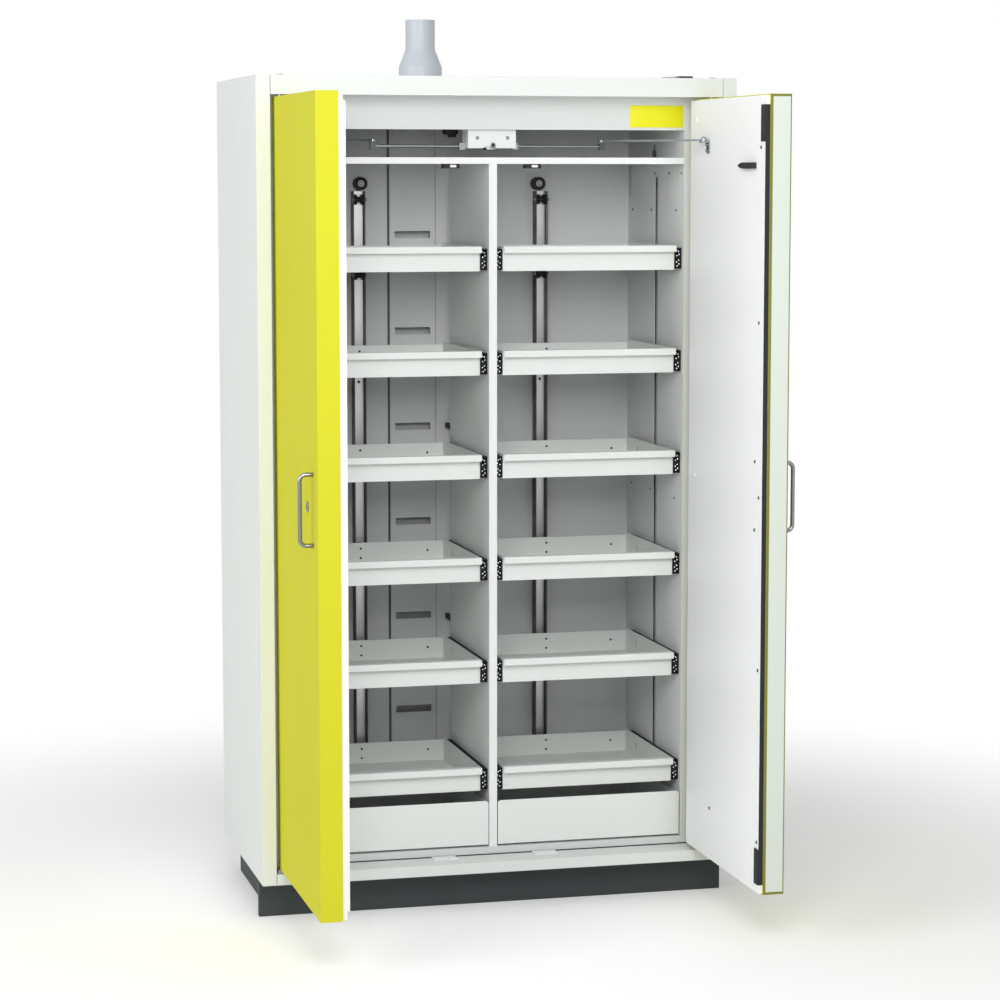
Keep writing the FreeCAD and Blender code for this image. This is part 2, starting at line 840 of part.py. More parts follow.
def exhaust_spigot():
    """Stepped duct connector that stands on the roof over its hole."""
    spigot = Piece("exhaust_spigot", "duct_centre", "spigot_y", "roof_level")
    cone_top = "(spigot_collar_height + spigot_cone_height)"
    top = f"({cone_top} + spigot_tube_height)"
    profile = [
        ("spigot_collar - spigot_wall", "0"),
        ("spigot_collar", "0"),
        ("spigot_collar", "spigot_collar_height"),
        ("spigot_tube", cone_top),
        ("spigot_tube", top),
        ("spigot_tube - spigot_wall", top),
        ("spigot_tube - spigot_wall", cone_top),
        ("spigot_collar - spigot_wall", "spigot_collar_height"),
    ]
    spigot.revolve(spigot.polygon("XZ", profile), "Z_Axis")
    node("exhaust_spigot", spigot.body)


def plinth():
    """Plinth boards with one across the middle, and the feet behind them."""
    reach = "(half_width - plinth_end_gap)"
    front_y = "(front_plane + plinth_setback)"
    rear_y = "(back_plane - plinth_rear_inset - plinth_board)"
    side_x = "(half_width - plinth_side_inset)"
    front = block("plinth_front", f"-{reach}", front_y, "0", f"2 * {reach}", "plinth_board", "plinth_height")
    rear = block("plinth_rear", f"-{side_x}", rear_y, "0", f"2 * {side_x}", "plinth_board", "plinth_height")
    inner_y = f"({front_y} + plinth_board)"
    inner_depth = f"({rear_y} - {inner_y})"
    side = block("plinth_side", f"-{side_x}", inner_y, "0", "plinth_board", inner_depth, "plinth_height")
    middle_x = "-plinth_board / 2"
    middle = block("plinth_middle", middle_x, inner_y, "0", "plinth_board", inner_depth, "plinth_height")
    foot_x = f"(-{side_x} + foot_inset)"
    front_foot = rod("foot_front", foot_x, f"{front_y} + foot_inset", "0", "foot_radius", "plinth_height")
    rear_foot_y = f"{rear_y} - foot_inset + plinth_board"
    rear_foot = rod("foot_rear", foot_x, rear_foot_y, "0", "foot_radius", "plinth_height")
    items = [side, front_foot, rear_foot]
    items += [mirrored(f"{item.Name}_right", item) for item in items]
    group("plinth", [front, rear, middle] + items)


def tray_level(index):
    """Give the underside of a tray, counted from the bottom."""
    if index == 0:
        return "tray_base"
    return f"(tray_base + tray_first_step + {index - 1} * tray_pitch)"


def column_start(side):
    """Give the left edge of a tray column."""
    if side == "left":
        return "(-half_opening + slide_width)"
    return "(partition_thick / 2 + slide_width)"


def channel_corners(facing):
    """Outline of a slide's channel, opening towards + or - X from its fixed face at zero."""
    reach = "(slide_width - slide_mouth) / 2"
    points = [
        ("0", "0"),
        (reach, "0"),
        (reach, "slide_gauge"),
        ("slide_gauge", "slide_gauge"),
        ("slide_gauge", "slide_height - slide_gauge"),
        (reach, "slide_height - slide_gauge"),
        (reach, "slide_height"),
        ("0", "slide_height"),
    ]
    if facing > 0:
        return points
    return [(f"-({x})", z) for x, z in points]


def beam_corners():
    """Outline of the middle member, an H that reaches into both channels."""
    inset = "(slide_gauge + slide_play)"
    wall = f"({inset} + slide_gauge)"
    far = f"(slide_width - {inset})"
    far_wall = f"(slide_width - {wall})"
    low = "(slide_height / 2 - slide_web / 2)"
    high = "(slide_height / 2 + slide_web / 2)"
    top = f"(slide_height - {inset})"
    return [
        (inset, inset),
        (wall, inset),
        (wall, low),
        (far_wall, low),
        (far_wall, inset),
        (far, inset),
        (far, top),
        (far_wall, top),
        (far_wall, high),
        (wall, high),
        (wall, top),
        (inset, top),
    ]


def slide_member(name, corners, x, index):
    """Extrude one member of a slide along the tray's travel."""
    member = Piece(name, x, "slide_front", f"{tray_level(index)} + slide_lift")
    member.pad(member.polygon("XZ", corners), "tray_depth")
    return member.body


def tray(side, index):
    """One sheet-metal tray with its hooked lip and the inner members of its two slides."""
    label = f"{side}_tray_{index + 1}"
    start = column_start(side)
    pan = Piece(f"{label}_pan", start, "tray_front", tray_level(index))
    pan.pad(pan.rectangle("XY", "0", "0", "tray_width", "tray_depth"), "tray_height")
    inner_width = "tray_width - 2 * tray_sheet"
    inner_depth = "tray_depth - 2 * tray_sheet"
    hollow = pan.rectangle("XY", "tray_sheet", "tray_sheet", inner_width, inner_depth, "tray_sheet")
    pan.pocket(hollow, "tray_height")
    rear_top = "tray_height - tray_back_drop"
    drop = pan.rectangle("XZ", "tray_sheet", rear_top, inner_width, "tray_height", "tray_depth")
    pan.pocket(drop, "2 * tray_sheet", upward=False)
    hook = [
        ("0", "tray_height"),
        ("-tray_setback", "tray_height"),
        ("-tray_setback", "tray_height - lip_drop"),
        ("-tray_setback + tray_sheet", "tray_height - lip_drop"),
        ("-tray_setback + tray_sheet", "tray_height - tray_sheet"),
        ("0", "tray_height - tray_sheet"),
    ]
    pan.pad(pan.polygon("YZ", hook), "tray_width")
    slot_y = "tray_depth * 3 / 4"
    slot_z = "tray_height / 3"
    hang = pan.rectangle("YZ", slot_y, slot_z, "hang_slot_width", "hang_slot_height", "tray_width")
    pan.pocket(hang, "2 * tray_sheet", upward=False)
    inner_left = slide_member(f"{label}_runner_left", channel_corners(-1), start, index)
    inner_right = slide_member(f"{label}_runner_right", channel_corners(1), f"{start} + tray_width", index)
    group(label, [pan.body, inner_left, inner_right])


def slides():
    """Outer members on the walls, and the middle members that travel half as far as the trays."""
    outers = []
    for side in ("left", "right"):
        for index in range(TRAYS_PER_COLUMN):
            start = column_start(side)
            wall_left = f"{start} - slide_width"
            wall_right = f"{start} + tray_width + slide_width"
            stem = f"{side}_slide_{index + 1}"
            outers.append(slide_member(f"{stem}_outer_left", channel_corners(1), wall_left, index))
            outers.append(slide_member(f"{stem}_outer_right", channel_corners(-1), wall_right, index))
            beam_left = slide_member(f"{stem}_beam_left", beam_corners(), wall_left, index)
            beam_right = slide_member(f"{stem}_beam_right", beam_corners(), f"{start} + tray_width", index)
            group(stem, [beam_left, beam_right])
    group("slide_rails", outers)


def sumps():
    """Bottom spill pans, which slide on two glides each."""
    width = "(half_opening - partition_thick / 2 - sump_inner_gap - sump_outer_gap)"
    for side in ("left", "right"):
        start = "(-half_opening + sump_outer_gap)"
        if side == "right":
            start = "(partition_thick / 2 + sump_inner_gap)"
        pan = Piece(f"{side}_sump_pan", start, "reveal_plane", "sump_low")
        front = [
            ("0", "0"),
            (width, "0"),
            (width, "sump_height - sump_ear"),
            (f"{width} - sump_ear", "sump_height"),
            ("sump_ear", "sump_height"),
            ("0", "sump_height - sump_ear"),
        ]
        pan.pad(pan.polygon("XZ", front), "tray_sheet")
        body_width = f"({width} - 2 * sump_shoulder)"
        body = pan.rectangle("XY", "sump_shoulder", "tray_sheet", body_width, "sump_depth - tray_sheet")
        pan.pad(body, "sump_height - sump_ear")
        hollow = pan.rectangle(
            "XY",
            "sump_shoulder + tray_sheet",
            "tray_sheet",
            f"{body_width} - 2 * tray_sheet",
            "sump_depth - 2 * tray_sheet",
            "tray_sheet",
        )
        pan.pocket(hollow, "sump_height")
        items = [pan.body]
        for edge, glide_x in (
            ("left", f"{start} + 2 * glide_width"),
            ("right", f"{start} + {width} - 3 * glide_width"),
        ):
            lift = "(floor_level + glide_play)"
            glide = block(
                f"{side}_glide_{edge}",
                glide_x,
                "tray_front",
                lift,
                "glide_width",
                "sump_depth - 2 * tray_setback",
                f"sump_low - {lift}",
            )
            items.append(glide)
        group(f"{side}_sump", items)


def frame_hardware():
    """Hinge pins on their plates, strikers, catches and the partition's clips."""
    plate = block(
        "hinge_plate",
        "-pivot_x - hinge_plate_side / 2",
        "pivot_y - hinge_plate_side / 4",
        "sill_top",
        "hinge_plate_side",
        "hinge_plate_side",
        "leaf_clear_low - hinge_play",
    )
    lower_low = "(leaf_low - hinge_play)"
    lower_length = f"leaf_low + hinge_pin_reach - {lower_low}"
    lower_pin = rod("hinge_pin_lower", "-pivot_x", "pivot_y", lower_low, "hinge_pin_radius", lower_length)
    lower = fuse("hinge_lower", [plate, lower_pin])
    upper_low = "(leaf_top - hinge_pin_reach)"
    upper_length = f"header_low - {upper_low}"
    upper = rod("hinge_upper", "-pivot_x", "pivot_y", upper_low, "hinge_pin_radius", upper_length)
    striker = block(
        "striker",
        "-striker_centre - striker_width / 2",
        "front_plane + striker_behind",
        "sill_top",
        "striker_width",
        "striker_depth",
        "striker_thick",
    )
    catch = block(
        "catch",
        "-catch_centre - catch_width / 2",
        "reveal_plane + catch_behind",
        "shelf_level - catch_height",
        "catch_width",
        "catch_depth",
        "catch_height",
    )
    items = [lower, upper, striker, catch]
    items += [mirrored(f"{item.Name}_right", item) for item in items]
    clip_y = "(reveal_plane + partition_depth)"
    for clip_name, level in (("upper", "clip_upper"), ("lower", "clip_lower")):
        clip = block(
            f"clip_{clip_name}",
            "-partition_thick / 2",
            clip_y,
            f"{level} - clip_height / 2",
            "clip_width",
            "interior_depth - partition_depth",
            "clip_height",
        )
        items.append(clip)
    group("frame_hardware", items)


def door_skin(side):
    """Folded outer sheet of a leaf, open towards the chamber, made at the left-hand place."""
    skin = Piece(f"{side}_skin", "leaf_outer", "leaf_free", "leaf_low")
    skin.pad(skin.rectangle("XY", "0", "0", "skin_depth", "leaf_width"), "leaf_height")
    wide = "leaf_width - 2 * sheet"
    tall = "leaf_height - 2 * sheet"
    hollow = skin.rectangle("YZ", "sheet", "sheet", wide, tall, "sheet")
    skin.pocket(hollow, "skin_depth - 2 * sheet")
    mouth_wide = "leaf_width - 2 * skin_rim"
    mouth_tall = "leaf_height - 2 * skin_rim"
    mouth = skin.rectangle("YZ", "skin_rim", "skin_rim", mouth_wide, mouth_tall, "skin_depth - 2 * sheet")
    skin.pocket(mouth, "3 * sheet")
    pivot = [("pivot_from_front", "leaf_width - pivot_from_edge")]
    skin.pocket(skin.circles("XY", pivot, "hinge_pin_radius + running_fit"))
    if side == "left":
        keyhole = [("lock_from_edge", "handle_level - leaf_low")]
        skin.pocket(skin.circles("YZ", keyhole, "lock_radius + running_fit"), "2 * sheet")
    else:
        strip_height = "leaf_height - 2 * edge_strip_end_gap"
        window = skin.rectangle("XZ", "edge_line", "edge_strip_end_gap", "edge_strip_width", strip_height)
        skin.pocket(window, "sheet")
    return skin.body


def door_core(side):
    """Mineral board inside a leaf, stepped to fill the sheet and the liner."""
    core = Piece(f"{side}_core", "leaf_outer + sheet", "leaf_free + sheet", "leaf_low + sheet")
    board = core.rectangle("YZ", "0", "0", "leaf_width - 2 * sheet", "leaf_height - 2 * sheet")
    core.pad(board, "skin_depth - 2 * sheet")
    rim = "skin_rim - sheet"
    mouth = core.rectangle(
        "YZ", rim, rim, "leaf_width - 2 * skin_rim", "leaf_height - 2 * skin_rim", "skin_depth - 2 * sheet"
    )
    core.pad(mouth, "sheet")
    inset = "(liner_inset + sheet)"
    step = core.rectangle(
        "YZ",
        f"{inset} - sheet",
        f"{inset} - sheet",
        f"leaf_width - 2 * {inset}",
        f"leaf_height - 2 * {inset}",
        "skin_depth - sheet",
    )
    core.pad(step, "liner_depth - sheet")
    pin = "hinge_pin_radius + running_fit"
    pivot = [("pivot_from_front - sheet", "leaf_width - pivot_from_edge - sheet")]
    core.pocket(core.circles("XY", pivot, pin), "hinge_pin_reach")
    core.pocket(core.circles("XY", pivot, pin, "leaf_height - 2 * sheet"), "hinge_pin_reach", upward=False)
    if side == "left":
        keyhole = [("lock_from_edge - sheet", "handle_level - leaf_low - sheet")]
        core.pocket(core.circles("YZ", keyhole, "lock_radius + running_fit"), "lock_length")
    return core.body


def door_liner(side):
    """White inner sheet of a leaf with the closer's bracket, and the astragal on the left leaf."""
    liner = Piece(
        f"{side}_liner", "leaf_outer + skin_depth", "leaf_free + liner_inset", "leaf_low + liner_inset"
    )
    wide = "(leaf_width - 2 * liner_inset)"
    tall = "(leaf_height - 2 * liner_inset)"
    liner.pad(liner.rectangle("YZ", "0", "0", wide, tall), "liner_depth")
    hollow = liner.rectangle("YZ", "sheet", "sheet", f"{wide} - 2 * sheet", f"{tall} - 2 * sheet")
    liner.pocket(hollow, "liner_depth - sheet")
    items = [liner.body, closer_bracket(side)]
    if side == "left":
        astragal = block(
            "astragal",
            "leaf_inner",
            "leaf_free + liner_inset",
            "leaf_low + astragal_end_gap",
            "astragal_thick",
            "astragal_width",
            "leaf_height - 2 * astragal_end_gap",
        )
        items.append(astragal)
    return items


def closer_bracket(side):
    """Angle on a leaf's inner face with the pivot pin of the closer's link."""
    half = "(bracket_width / 2)"
    plate = block(
        f"{side}_bracket_plate",
        "leaf_inner",
        f"bracket_y - {half}",
        "link_level - link_play - bracket_plate - bracket_drop",
        "bracket_plate",
        "bracket_width",
        "bracket_drop + bracket_plate",
    )
    arm = block(
        f"{side}_bracket_arm",
        "leaf_inner",
        f"bracket_y - {half}",
        "link_level - link_play - bracket_plate",
        f"bracket_standoff + {half}",
        "bracket_width",
        "bracket_plate",
    )
    pin_low = "(link_level - link_play - bracket_plate)"
    pin_height = "bracket_plate + link_thick + 3 * link_play"
    pin = rod(f"{side}_bracket_pin", "bracket_x", "bracket_y", pin_low, "link_pin", pin_height)
    return fuse(f"{side}_closer_bracket", [plate, arm, pin])


def handle(name):
    """Bent round bar, swept along its path, at the left-hand place."""
    path = DOC.addObject("Sketcher::SketchObject", f"{name}_path")
    reach, bend, half = value("handle_standoff"), value("handle_bend"), value("handle_centres / 2")
    straight = half - bend
    corners = [
        (Vector(0, -half, 0), "0", "-handle_centres / 2"),
        (Vector(bend - reach, -half, 0), "handle_bend - handle_standoff", "-handle_centres / 2"),
        (Vector(-reach, -straight, 0), "-handle_standoff", "handle_bend - handle_centres / 2"),
        (Vector(-reach, straight, 0), "-handle_standoff", "handle_centres / 2 - handle_bend"),
        (Vector(bend - reach, half, 0), "handle_bend - handle_standoff", "handle_centres / 2"),
        (Vector(0, half, 0), "0", "handle_centres / 2"),
    ]
    for index in (0, 2, 4):
        path.addGeometry(Part.LineSegment(corners[index][0], corners[index + 1][0]))
    for centre_y, start, end in ((-straight, math.pi, 1.5 * math.pi), (straight, math.pi / 2, math.pi)):
        circle = Part.Circle(Vector(bend - reach, centre_y, 0), Vector(0, 0, 1), bend)
        path.addGeometry(Part.ArcOfCircle(circle, start, end))
    for index, (point, x, y) in enumerate(corners):
        line, end = divmod(index, 2)
        across = Sketcher.Constraint("DistanceX", -1, 1, line, end + 1, point.x)
        bind(path, f"Constraints[{path.addConstraint(across)}]", x)
        along = Sketcher.Constraint("DistanceY", -1, 1, line, end + 1, point.y)
        bind(path, f"Constraints[{path.addConstraint(along)}]", y)
    for line, line_end, arc, arc_end in ((0, 2, 3, 2), (1, 1, 3, 1), (1, 2, 4, 2), (2, 1, 4, 1)):
        path.addConstraint(Sketcher.Constraint("Coincident", line, line_end, arc, arc_end))
    for arc in (3, 4):
        size = Sketcher.Constraint("Radius", arc, bend)
        bind(path, f"Constraints[{path.addConstraint(size)}]", "handle_bend")
    upright = FreeCAD.Rotation(Vector(1, 0, 0), 90)
    path.Placement.Rotation = upright
    place(path, "leaf_outer", "handle_y", "handle_level")
    section = DOC.addObject("Part::Circle", f"{name}_section")
    bind(section, "Radius", "handle_radius")
    section.Placement.Rotation = FreeCAD.Rotation(Vector(0, 1, 0), -90)
    place(section, "leaf_outer", "handle_y", "handle_level - handle_centres / 2")
    DOC.recompute()
    bar = DOC.addObject("Part::Sweep", name)
    bar.Sections = [section]
    bar.Spine = (path, [f"Edge{index + 1}" for index in range(len(path.Shape.Edges))])
    bar.Solid = True
    return bar


def lock_ring():
    """Escutcheon round the key cylinder."""
    seat_x = "leaf_outer - lock_ring_thick"
    disc = rod("lock_disc", seat_x, "lock_y", "handle_level", "lock_ring", "lock_ring_thick", "x")
    bore = "lock_radius + running_fit"
    hole = rod("lock_disc_hole", seat_x, "lock_y", "handle_level", bore, "lock_ring_thick", "x")
    return cut("lock_escutcheon", disc, hole)


def lock_cylinder():
    """Key cylinder with its keyway, turning in the left leaf."""
    start = "(leaf_outer - lock_ring_thick)"
    barrel = Piece("lock_cylinder", start, "lock_y", "handle_level")
    barrel.pad(barrel.circles("YZ", [("0", "0")], "lock_radius"), "lock_length")
    keyway = barrel.rectangle("YZ", "-lock_radius / 8", "-lock_radius / 2", "lock_radius / 4", "lock_radius")
    barrel.pocket(keyway, "lock_radius")
    node("lock_cylinder", barrel.body)


def door_fittings():
    """Seals, edge strip and latch of the right leaf, drawn at the left-hand place."""
    strip = block(
        "edge_strip",
        "leaf_outer + edge_line",
        "leaf_free",
        "leaf_low + edge_strip_end_gap",
        "edge_strip_width",
        "sheet",
        "leaf_height - 2 * edge_strip_end_gap",
    )
    skirt = "(leaf_outer + skin_depth)"
    seal_x = "leaf_free + liner_inset - seal_thick"
    seal = block(
        "edge_seal",
        skirt,
        seal_x,
        "leaf_low + seal_end_gap",
        "liner_depth",
        "seal_thick",
        "leaf_height - 2 * seal_end_gap",
    )
    pad_width = "seal_pad_wrap + seal_thick"
    low_pad = block(
        "seal_pad_low",
        "leaf_inner",
        seal_x,
        "leaf_low + seal_end_gap",
        "seal_thick",
        pad_width,
        "seal_pad_height",
    )
    top_pad = block(
        "seal_pad_top",
        "leaf_inner",
        seal_x,
        "leaf_top - seal_end_gap - seal_pad_height",
        "seal_thick",
        pad_width,
        "seal_pad_height",
    )
    seals = fuse("door_seals", [seal, low_pad, top_pad])
    latch_low = "shelf_level - latch_height / 2 - catch_height / 2"
    latch = Piece("latch", "leaf_inner", "leaf_free + latch_from_edge", latch_low)
    mid = "latch_height / 2"
    outline = [
        ("0", "0"),
        ("latch_length * 3 / 4", "0"),
        ("latch_length", f"{mid} - latch_tip / 2"),
        ("latch_length", f"{mid} + latch_tip / 2"),
        ("latch_length * 3 / 4", "latch_height"),
        ("0", "latch_height"),
    ]
    latch.pad(latch.polygon("YZ", outline), "latch_thick")
    return [strip, seals, latch.body]


def doors():
    """Both leaves: the right one is the left one's mirror image, with its own edge."""
    node("left_door_skin", door_skin("left"))
    node("right_door_skin", mirrored("right_door_skin", door_skin("right")))
    node("left_door_core", door_core("left"))
    node("right_door_core", mirrored("right_door_core", door_core("right")))
    group("left_door_liner", door_liner("left"))
    twins = [mirrored(f"{item.Name}_twin", item) for item in door_liner("right")]
    group("right_door_liner", twins)
    group("left_handle", [handle("handle_bar"), lock_ring()])
    node("right_handle", mirrored("right_handle", handle("handle_bar_right")))
    fittings = [mirrored(f"{item.Name}_twin", item) for item in door_fittings()]
    group("right_door_fittings", fittings)
    lock_cylinder()


def cabinet():
    """Build every sub-part."""
    side_panels()
    top_panel()
    base_panel()
    back_panel()
    wall_insulation()
    inner_frame()
    interior_lining()
    duct_cover()
    ceiling_shelf()
    partition()
    rear_rails()
    pulleys()
    closer_housing()
    closer_linkage()
    exhaust_spigot()
    plinth()
    slides()
    for side in ("left", "right"):
        for index in range(TRAYS_PER_COLUMN):
            tray(side, index)
    sumps()
    frame_hardware()
    doors()


def check_document():
    """Stop if any object failed or any sub-part's shape is missing or not valid."""
    failed = [item.Name for item in DOC.Objects if "Invalid" in item.State or "Error" in item.State]
    if failed:
        raise RuntimeError(f"objects failed to recompute: {failed}")
    for label, item in NODES.items():
        if item.Shape.isNull() or not item.Shape.isValid() or not item.Shape.Solids:
            raise RuntimeError(f"sub-part {label} has no valid solid")


def export_parts():
    """Write each sub-part's shape to its own file."""
    os.makedirs("parts", exist_ok=True)
    for label, item in NODES.items():
        item.Shape.exportStep(os.path.join("parts", f"{label}.step"))
        print(f"{label}: {len(item.Shape.Solids)} solids, {item.Shape.Volume / 1000:.1f} cm3")


cabinet()
DOC.recompute()
check_document()
export_parts()
print(f"{len(NODES)} sub-parts")
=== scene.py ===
"""Dress the fire-resistant safety cabinet for its studio picture.

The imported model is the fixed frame. Each sub-assembly is a class: it gives the frame's pieces their
finishes and adds the small things that a cabinet maker fits last, such as screws, plates and buttons.
"""

from __future__ import annotations

import json
import logging
import math
from collections.abc import Iterable
from dataclasses import dataclass, replace
from enum import Enum

import bpy
from mathutils import Matrix, Vector

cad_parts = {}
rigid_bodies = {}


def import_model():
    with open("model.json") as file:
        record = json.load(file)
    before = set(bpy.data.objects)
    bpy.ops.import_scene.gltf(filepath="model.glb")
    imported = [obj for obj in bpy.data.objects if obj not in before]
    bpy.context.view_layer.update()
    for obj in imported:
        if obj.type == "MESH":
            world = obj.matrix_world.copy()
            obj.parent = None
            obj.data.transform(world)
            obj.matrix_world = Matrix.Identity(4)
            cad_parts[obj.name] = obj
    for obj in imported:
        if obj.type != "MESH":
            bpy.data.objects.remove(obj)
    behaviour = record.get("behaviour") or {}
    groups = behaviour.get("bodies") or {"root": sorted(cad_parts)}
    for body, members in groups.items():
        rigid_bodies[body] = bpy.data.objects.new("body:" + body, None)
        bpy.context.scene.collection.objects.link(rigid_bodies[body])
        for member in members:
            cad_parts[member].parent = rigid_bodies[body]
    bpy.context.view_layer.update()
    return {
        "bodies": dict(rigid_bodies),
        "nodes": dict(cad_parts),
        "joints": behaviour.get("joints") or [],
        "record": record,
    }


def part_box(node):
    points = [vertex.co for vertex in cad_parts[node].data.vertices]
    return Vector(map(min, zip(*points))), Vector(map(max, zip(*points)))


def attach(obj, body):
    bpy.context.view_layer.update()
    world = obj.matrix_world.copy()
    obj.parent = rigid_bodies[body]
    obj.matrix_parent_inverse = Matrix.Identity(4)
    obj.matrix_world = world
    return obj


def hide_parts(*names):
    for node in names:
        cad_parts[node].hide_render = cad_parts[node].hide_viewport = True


LOG = logging.getLogger("safety_cabinet")
MM = 0.001
# Corners flatter than this are rounded by shading.
SMOOTH_ANGLE = math.radians(32)
# Points of a copied mesh closer than this are one point.
MERGE_DISTANCE = 0.01 * MM
# Facets across a rounded edge.
EDGE_SEGMENTS = 3
# Depth of the casing's front face in millimetres, from which screws are measured.
CASING_FRONT = -303.0

Corner = tuple[float, float, float]
Points = tuple[tuple[float, float], ...]
Seats = Iterable[tuple[Vector, "Facing"]]


class Side(Enum):
    """The two halves of the cabinet, as seen from in front."""

    LEFT = -1
    RIGHT = 1

    @property
    def word(self) -> str:
        """Give the side's name as the frame's pieces spell it."""
        return self.name.lower()


class Facing(Enum):
    """The way that the visible end of a small fitting points."""

    PLUS_X = (1, 0, 0)
    MINUS_X = (-1, 0, 0)
    MINUS_Y = (0, -1, 0)
    PLUS_Z = (0, 0, 1)


def linear(code: str) -> tuple[float, float, float, float]:
    """Turn an sRGB hex colour into the linear colour that a shader takes.

    Args:
        code: six hex digits after a hash mark.

    Returns:
        Linear red, green and blue, and an alpha of one.
    """
    channels = [int(code[start : start + 2], 16) / 255 for start in (1, 3, 5)]
    scene = [c / 12.92 if c <= 0.04045 else ((c + 0.055) / 1.055) ** 2.4 for c in channels]
    return (scene[0], scene[1], scene[2], 1.0)


def add_node(
    tree: bpy.types.NodeTree, kind: str, inputs: dict[str | int, object] | None = None, **settings: object
) -> bpy.types.Node:
    """Add one shader node with its settings, values and links.

    Args:
        tree: the node tree to add to.
        kind: the node's type name.
        inputs: for each input's name or number, a value to set or an output socket to link.
        settings: properties of the node itself.

    Returns:
        The new node.
    """
    node = tree.nodes.new(kind)
    for name, setting in settings.items():
        setattr(node, name, setting)
    for key, source in (inputs or {}).items():
        if isinstance(source, bpy.types.NodeSocket):
            tree.links.new(source, node.inputs[key])
        else:
            node.inputs[key].default_value = source
    return node


def cells_per_metre(size_mm: float) -> float:
    """Give the texture scale at which one cell of a pattern is this many millimetres."""
    return 1 / (size_mm * MM)


@dataclass(frozen=True)
class Surface:
    """The node tree, shader and Object coordinates of a material being made."""

    tree: bpy.types.NodeTree
    shader: bpy.types.Node
    place: bpy.types.NodeSocket


@dataclass(frozen=True)
class Finish:
    """One material with the way its surface was made.

    The pattern of a finish pulls its colour towards the shade, and its roughness over the spread.
    """

    name: str
    colour: str
    roughness: float
    metallic: float = 0.0
    gloss: float = 0.5
    shade: str = "#808080"
    spread: tuple[float, float] = (0.0, 0.0)

    def material(self) -> bpy.types.Material:
        """Give the finish's material, made the first time that it is asked for.

        Returns:
            The material.
        """
        found = bpy.data.materials.get(self.name)
        if found:
            return found
        made = bpy.data.materials.new(self.name)
        made.use_nodes = True
        made.diffuse_color = linear(self.colour)
        tree = made.node_tree
        shader = tree.nodes["Principled BSDF"]
        shader.inputs["Base Color"].default_value = linear(self.colour)
        shader.inputs["Roughness"].default_value = self.roughness
        shader.inputs["Metallic"].default_value = self.metallic
        shader.inputs["Specular IOR Level"].default_value = self.gloss
        self.pattern(Surface(tree, shader, add_node(tree, "ShaderNodeTexCoord").outputs["Object"]))
        return made

    def pattern(self, surface: Surface) -> None:
        """Add what the surface shows beyond its plain colour.

        Args:
            surface: the material being made.
        """

    def vary(self, surface: Surface, amount: bpy.types.NodeSocket) -> None:
        """Let a pattern move the colour and the roughness.

        Args:
            surface: the material being made.
            amount: a pattern from 0 to 1.
        """
        tree, shader = surface.tree, surface.shader
        blend = add_node(tree, "ShaderNodeMix", {0: amount}, data_type="RGBA")
        blend.inputs[6].default_value = linear(self.colour)
        blend.inputs[7].default_value = linear(self.shade)
        tree.links.new(blend.outputs[2], shader.inputs["Base Color"])
        low, high = (self.roughness + change for change in self.spread)
        span = add_node(tree, "ShaderNodeMapRange", {"Value": amount, "To Min": low, "To Max": high})
        tree.links.new(span.outputs[0], shader.inputs["Roughness"])

    def relief(
        self, surface: Surface, height: bpy.types.NodeSocket, depth_mm: float, edge_mm: float = 0.0
    ) -> None:
        """Raise the surface by a pattern, and soften the light on folded edges.

        Args:
            surface: the material being made.
            height: a pattern from 0 to 1.
            depth_mm: how far its high end stands above its low end.
            edge_mm: the radius that the eye reads on a folded edge.
        """
        tree = surface.tree
        inputs = {"Height": height, "Distance": depth_mm * MM, "Strength": 1.0}
        bump = add_node(tree, "ShaderNodeBump", inputs)
        if edge_mm:
            edge = add_node(tree, "ShaderNodeBevel", {"Radius": edge_mm * MM}, samples=4)
            tree.links.new(edge.outputs[0], bump.inputs["Normal"])
        tree.links.new(bump.outputs[0], surface.shader.inputs["Normal"])


@dataclass(frozen=True)
class PowderCoat(Finish):
    """Polyester powder baked on steel sheet: an even colour under a faint orange peel."""

    spread: tuple[float, float] = (-0.04, 0.06)
    cloud_mm: float = 420.0
    peel_mm: float = 7.0
    peel_depth_mm: float = 0.012
    fold_mm: float = 0.9

    def pattern(self, surface: Surface) -> None:
        """Cloud the film's thickness a little and lay the orange peel over it.

        Args:
            surface: the material being made.
        """
        # Real peel is about 1 mm across, too fine for the picture, so it is drawn several times coarser.
        clouds = {"Vector": surface.place, "Scale": cells_per_metre(self.cloud_mm), "Detail": 3.0}
        self.vary(surface, add_node(surface.tree, "ShaderNodeTexNoise", clouds).outputs[0])
        peel = {"Vector": surface.place, "Scale": cells_per_metre(self.peel_mm), "Detail": 1.0}
        height = add_node(surface.tree, "ShaderNodeTexNoise", peel).outputs[0]
        self.relief(surface, height, self.peel_depth_mm, self.fold_mm)


@dataclass(frozen=True)
class RolledZinc(Finish):
    """Zinc-plated cold-rolled steel: clear metal with a fine grain along the rolling direction."""

    shade: str = "#7D8083"
    spread: tuple[float, float] = (-0.08, 0.12)
    grain_mm: float = 1.2
    grain_depth_mm: float = 0.01
    length_ratio: float = 0.04

    def pattern(self, surface: Surface) -> None:
        """Draw the rolling grain, long along Z and Y.

        Args:
            surface: the material being made.
        """
        # The grain is really a tenth of a millimetre wide; it is drawn wide enough to break reflections.
        along = {"Vector": surface.place, "Scale": (1.0, self.length_ratio, self.length_ratio)}
        stretched = add_node(surface.tree, "ShaderNodeMapping", along).outputs[0]
        grain = {"Vector": stretched, "Scale": cells_per_metre(self.grain_mm), "Detail": 2.0}
        amount = add_node(surface.tree, "ShaderNodeTexNoise", grain).outputs[0]
        self.vary(surface, amount)
        self.relief(surface, amount, self.grain_depth_mm)


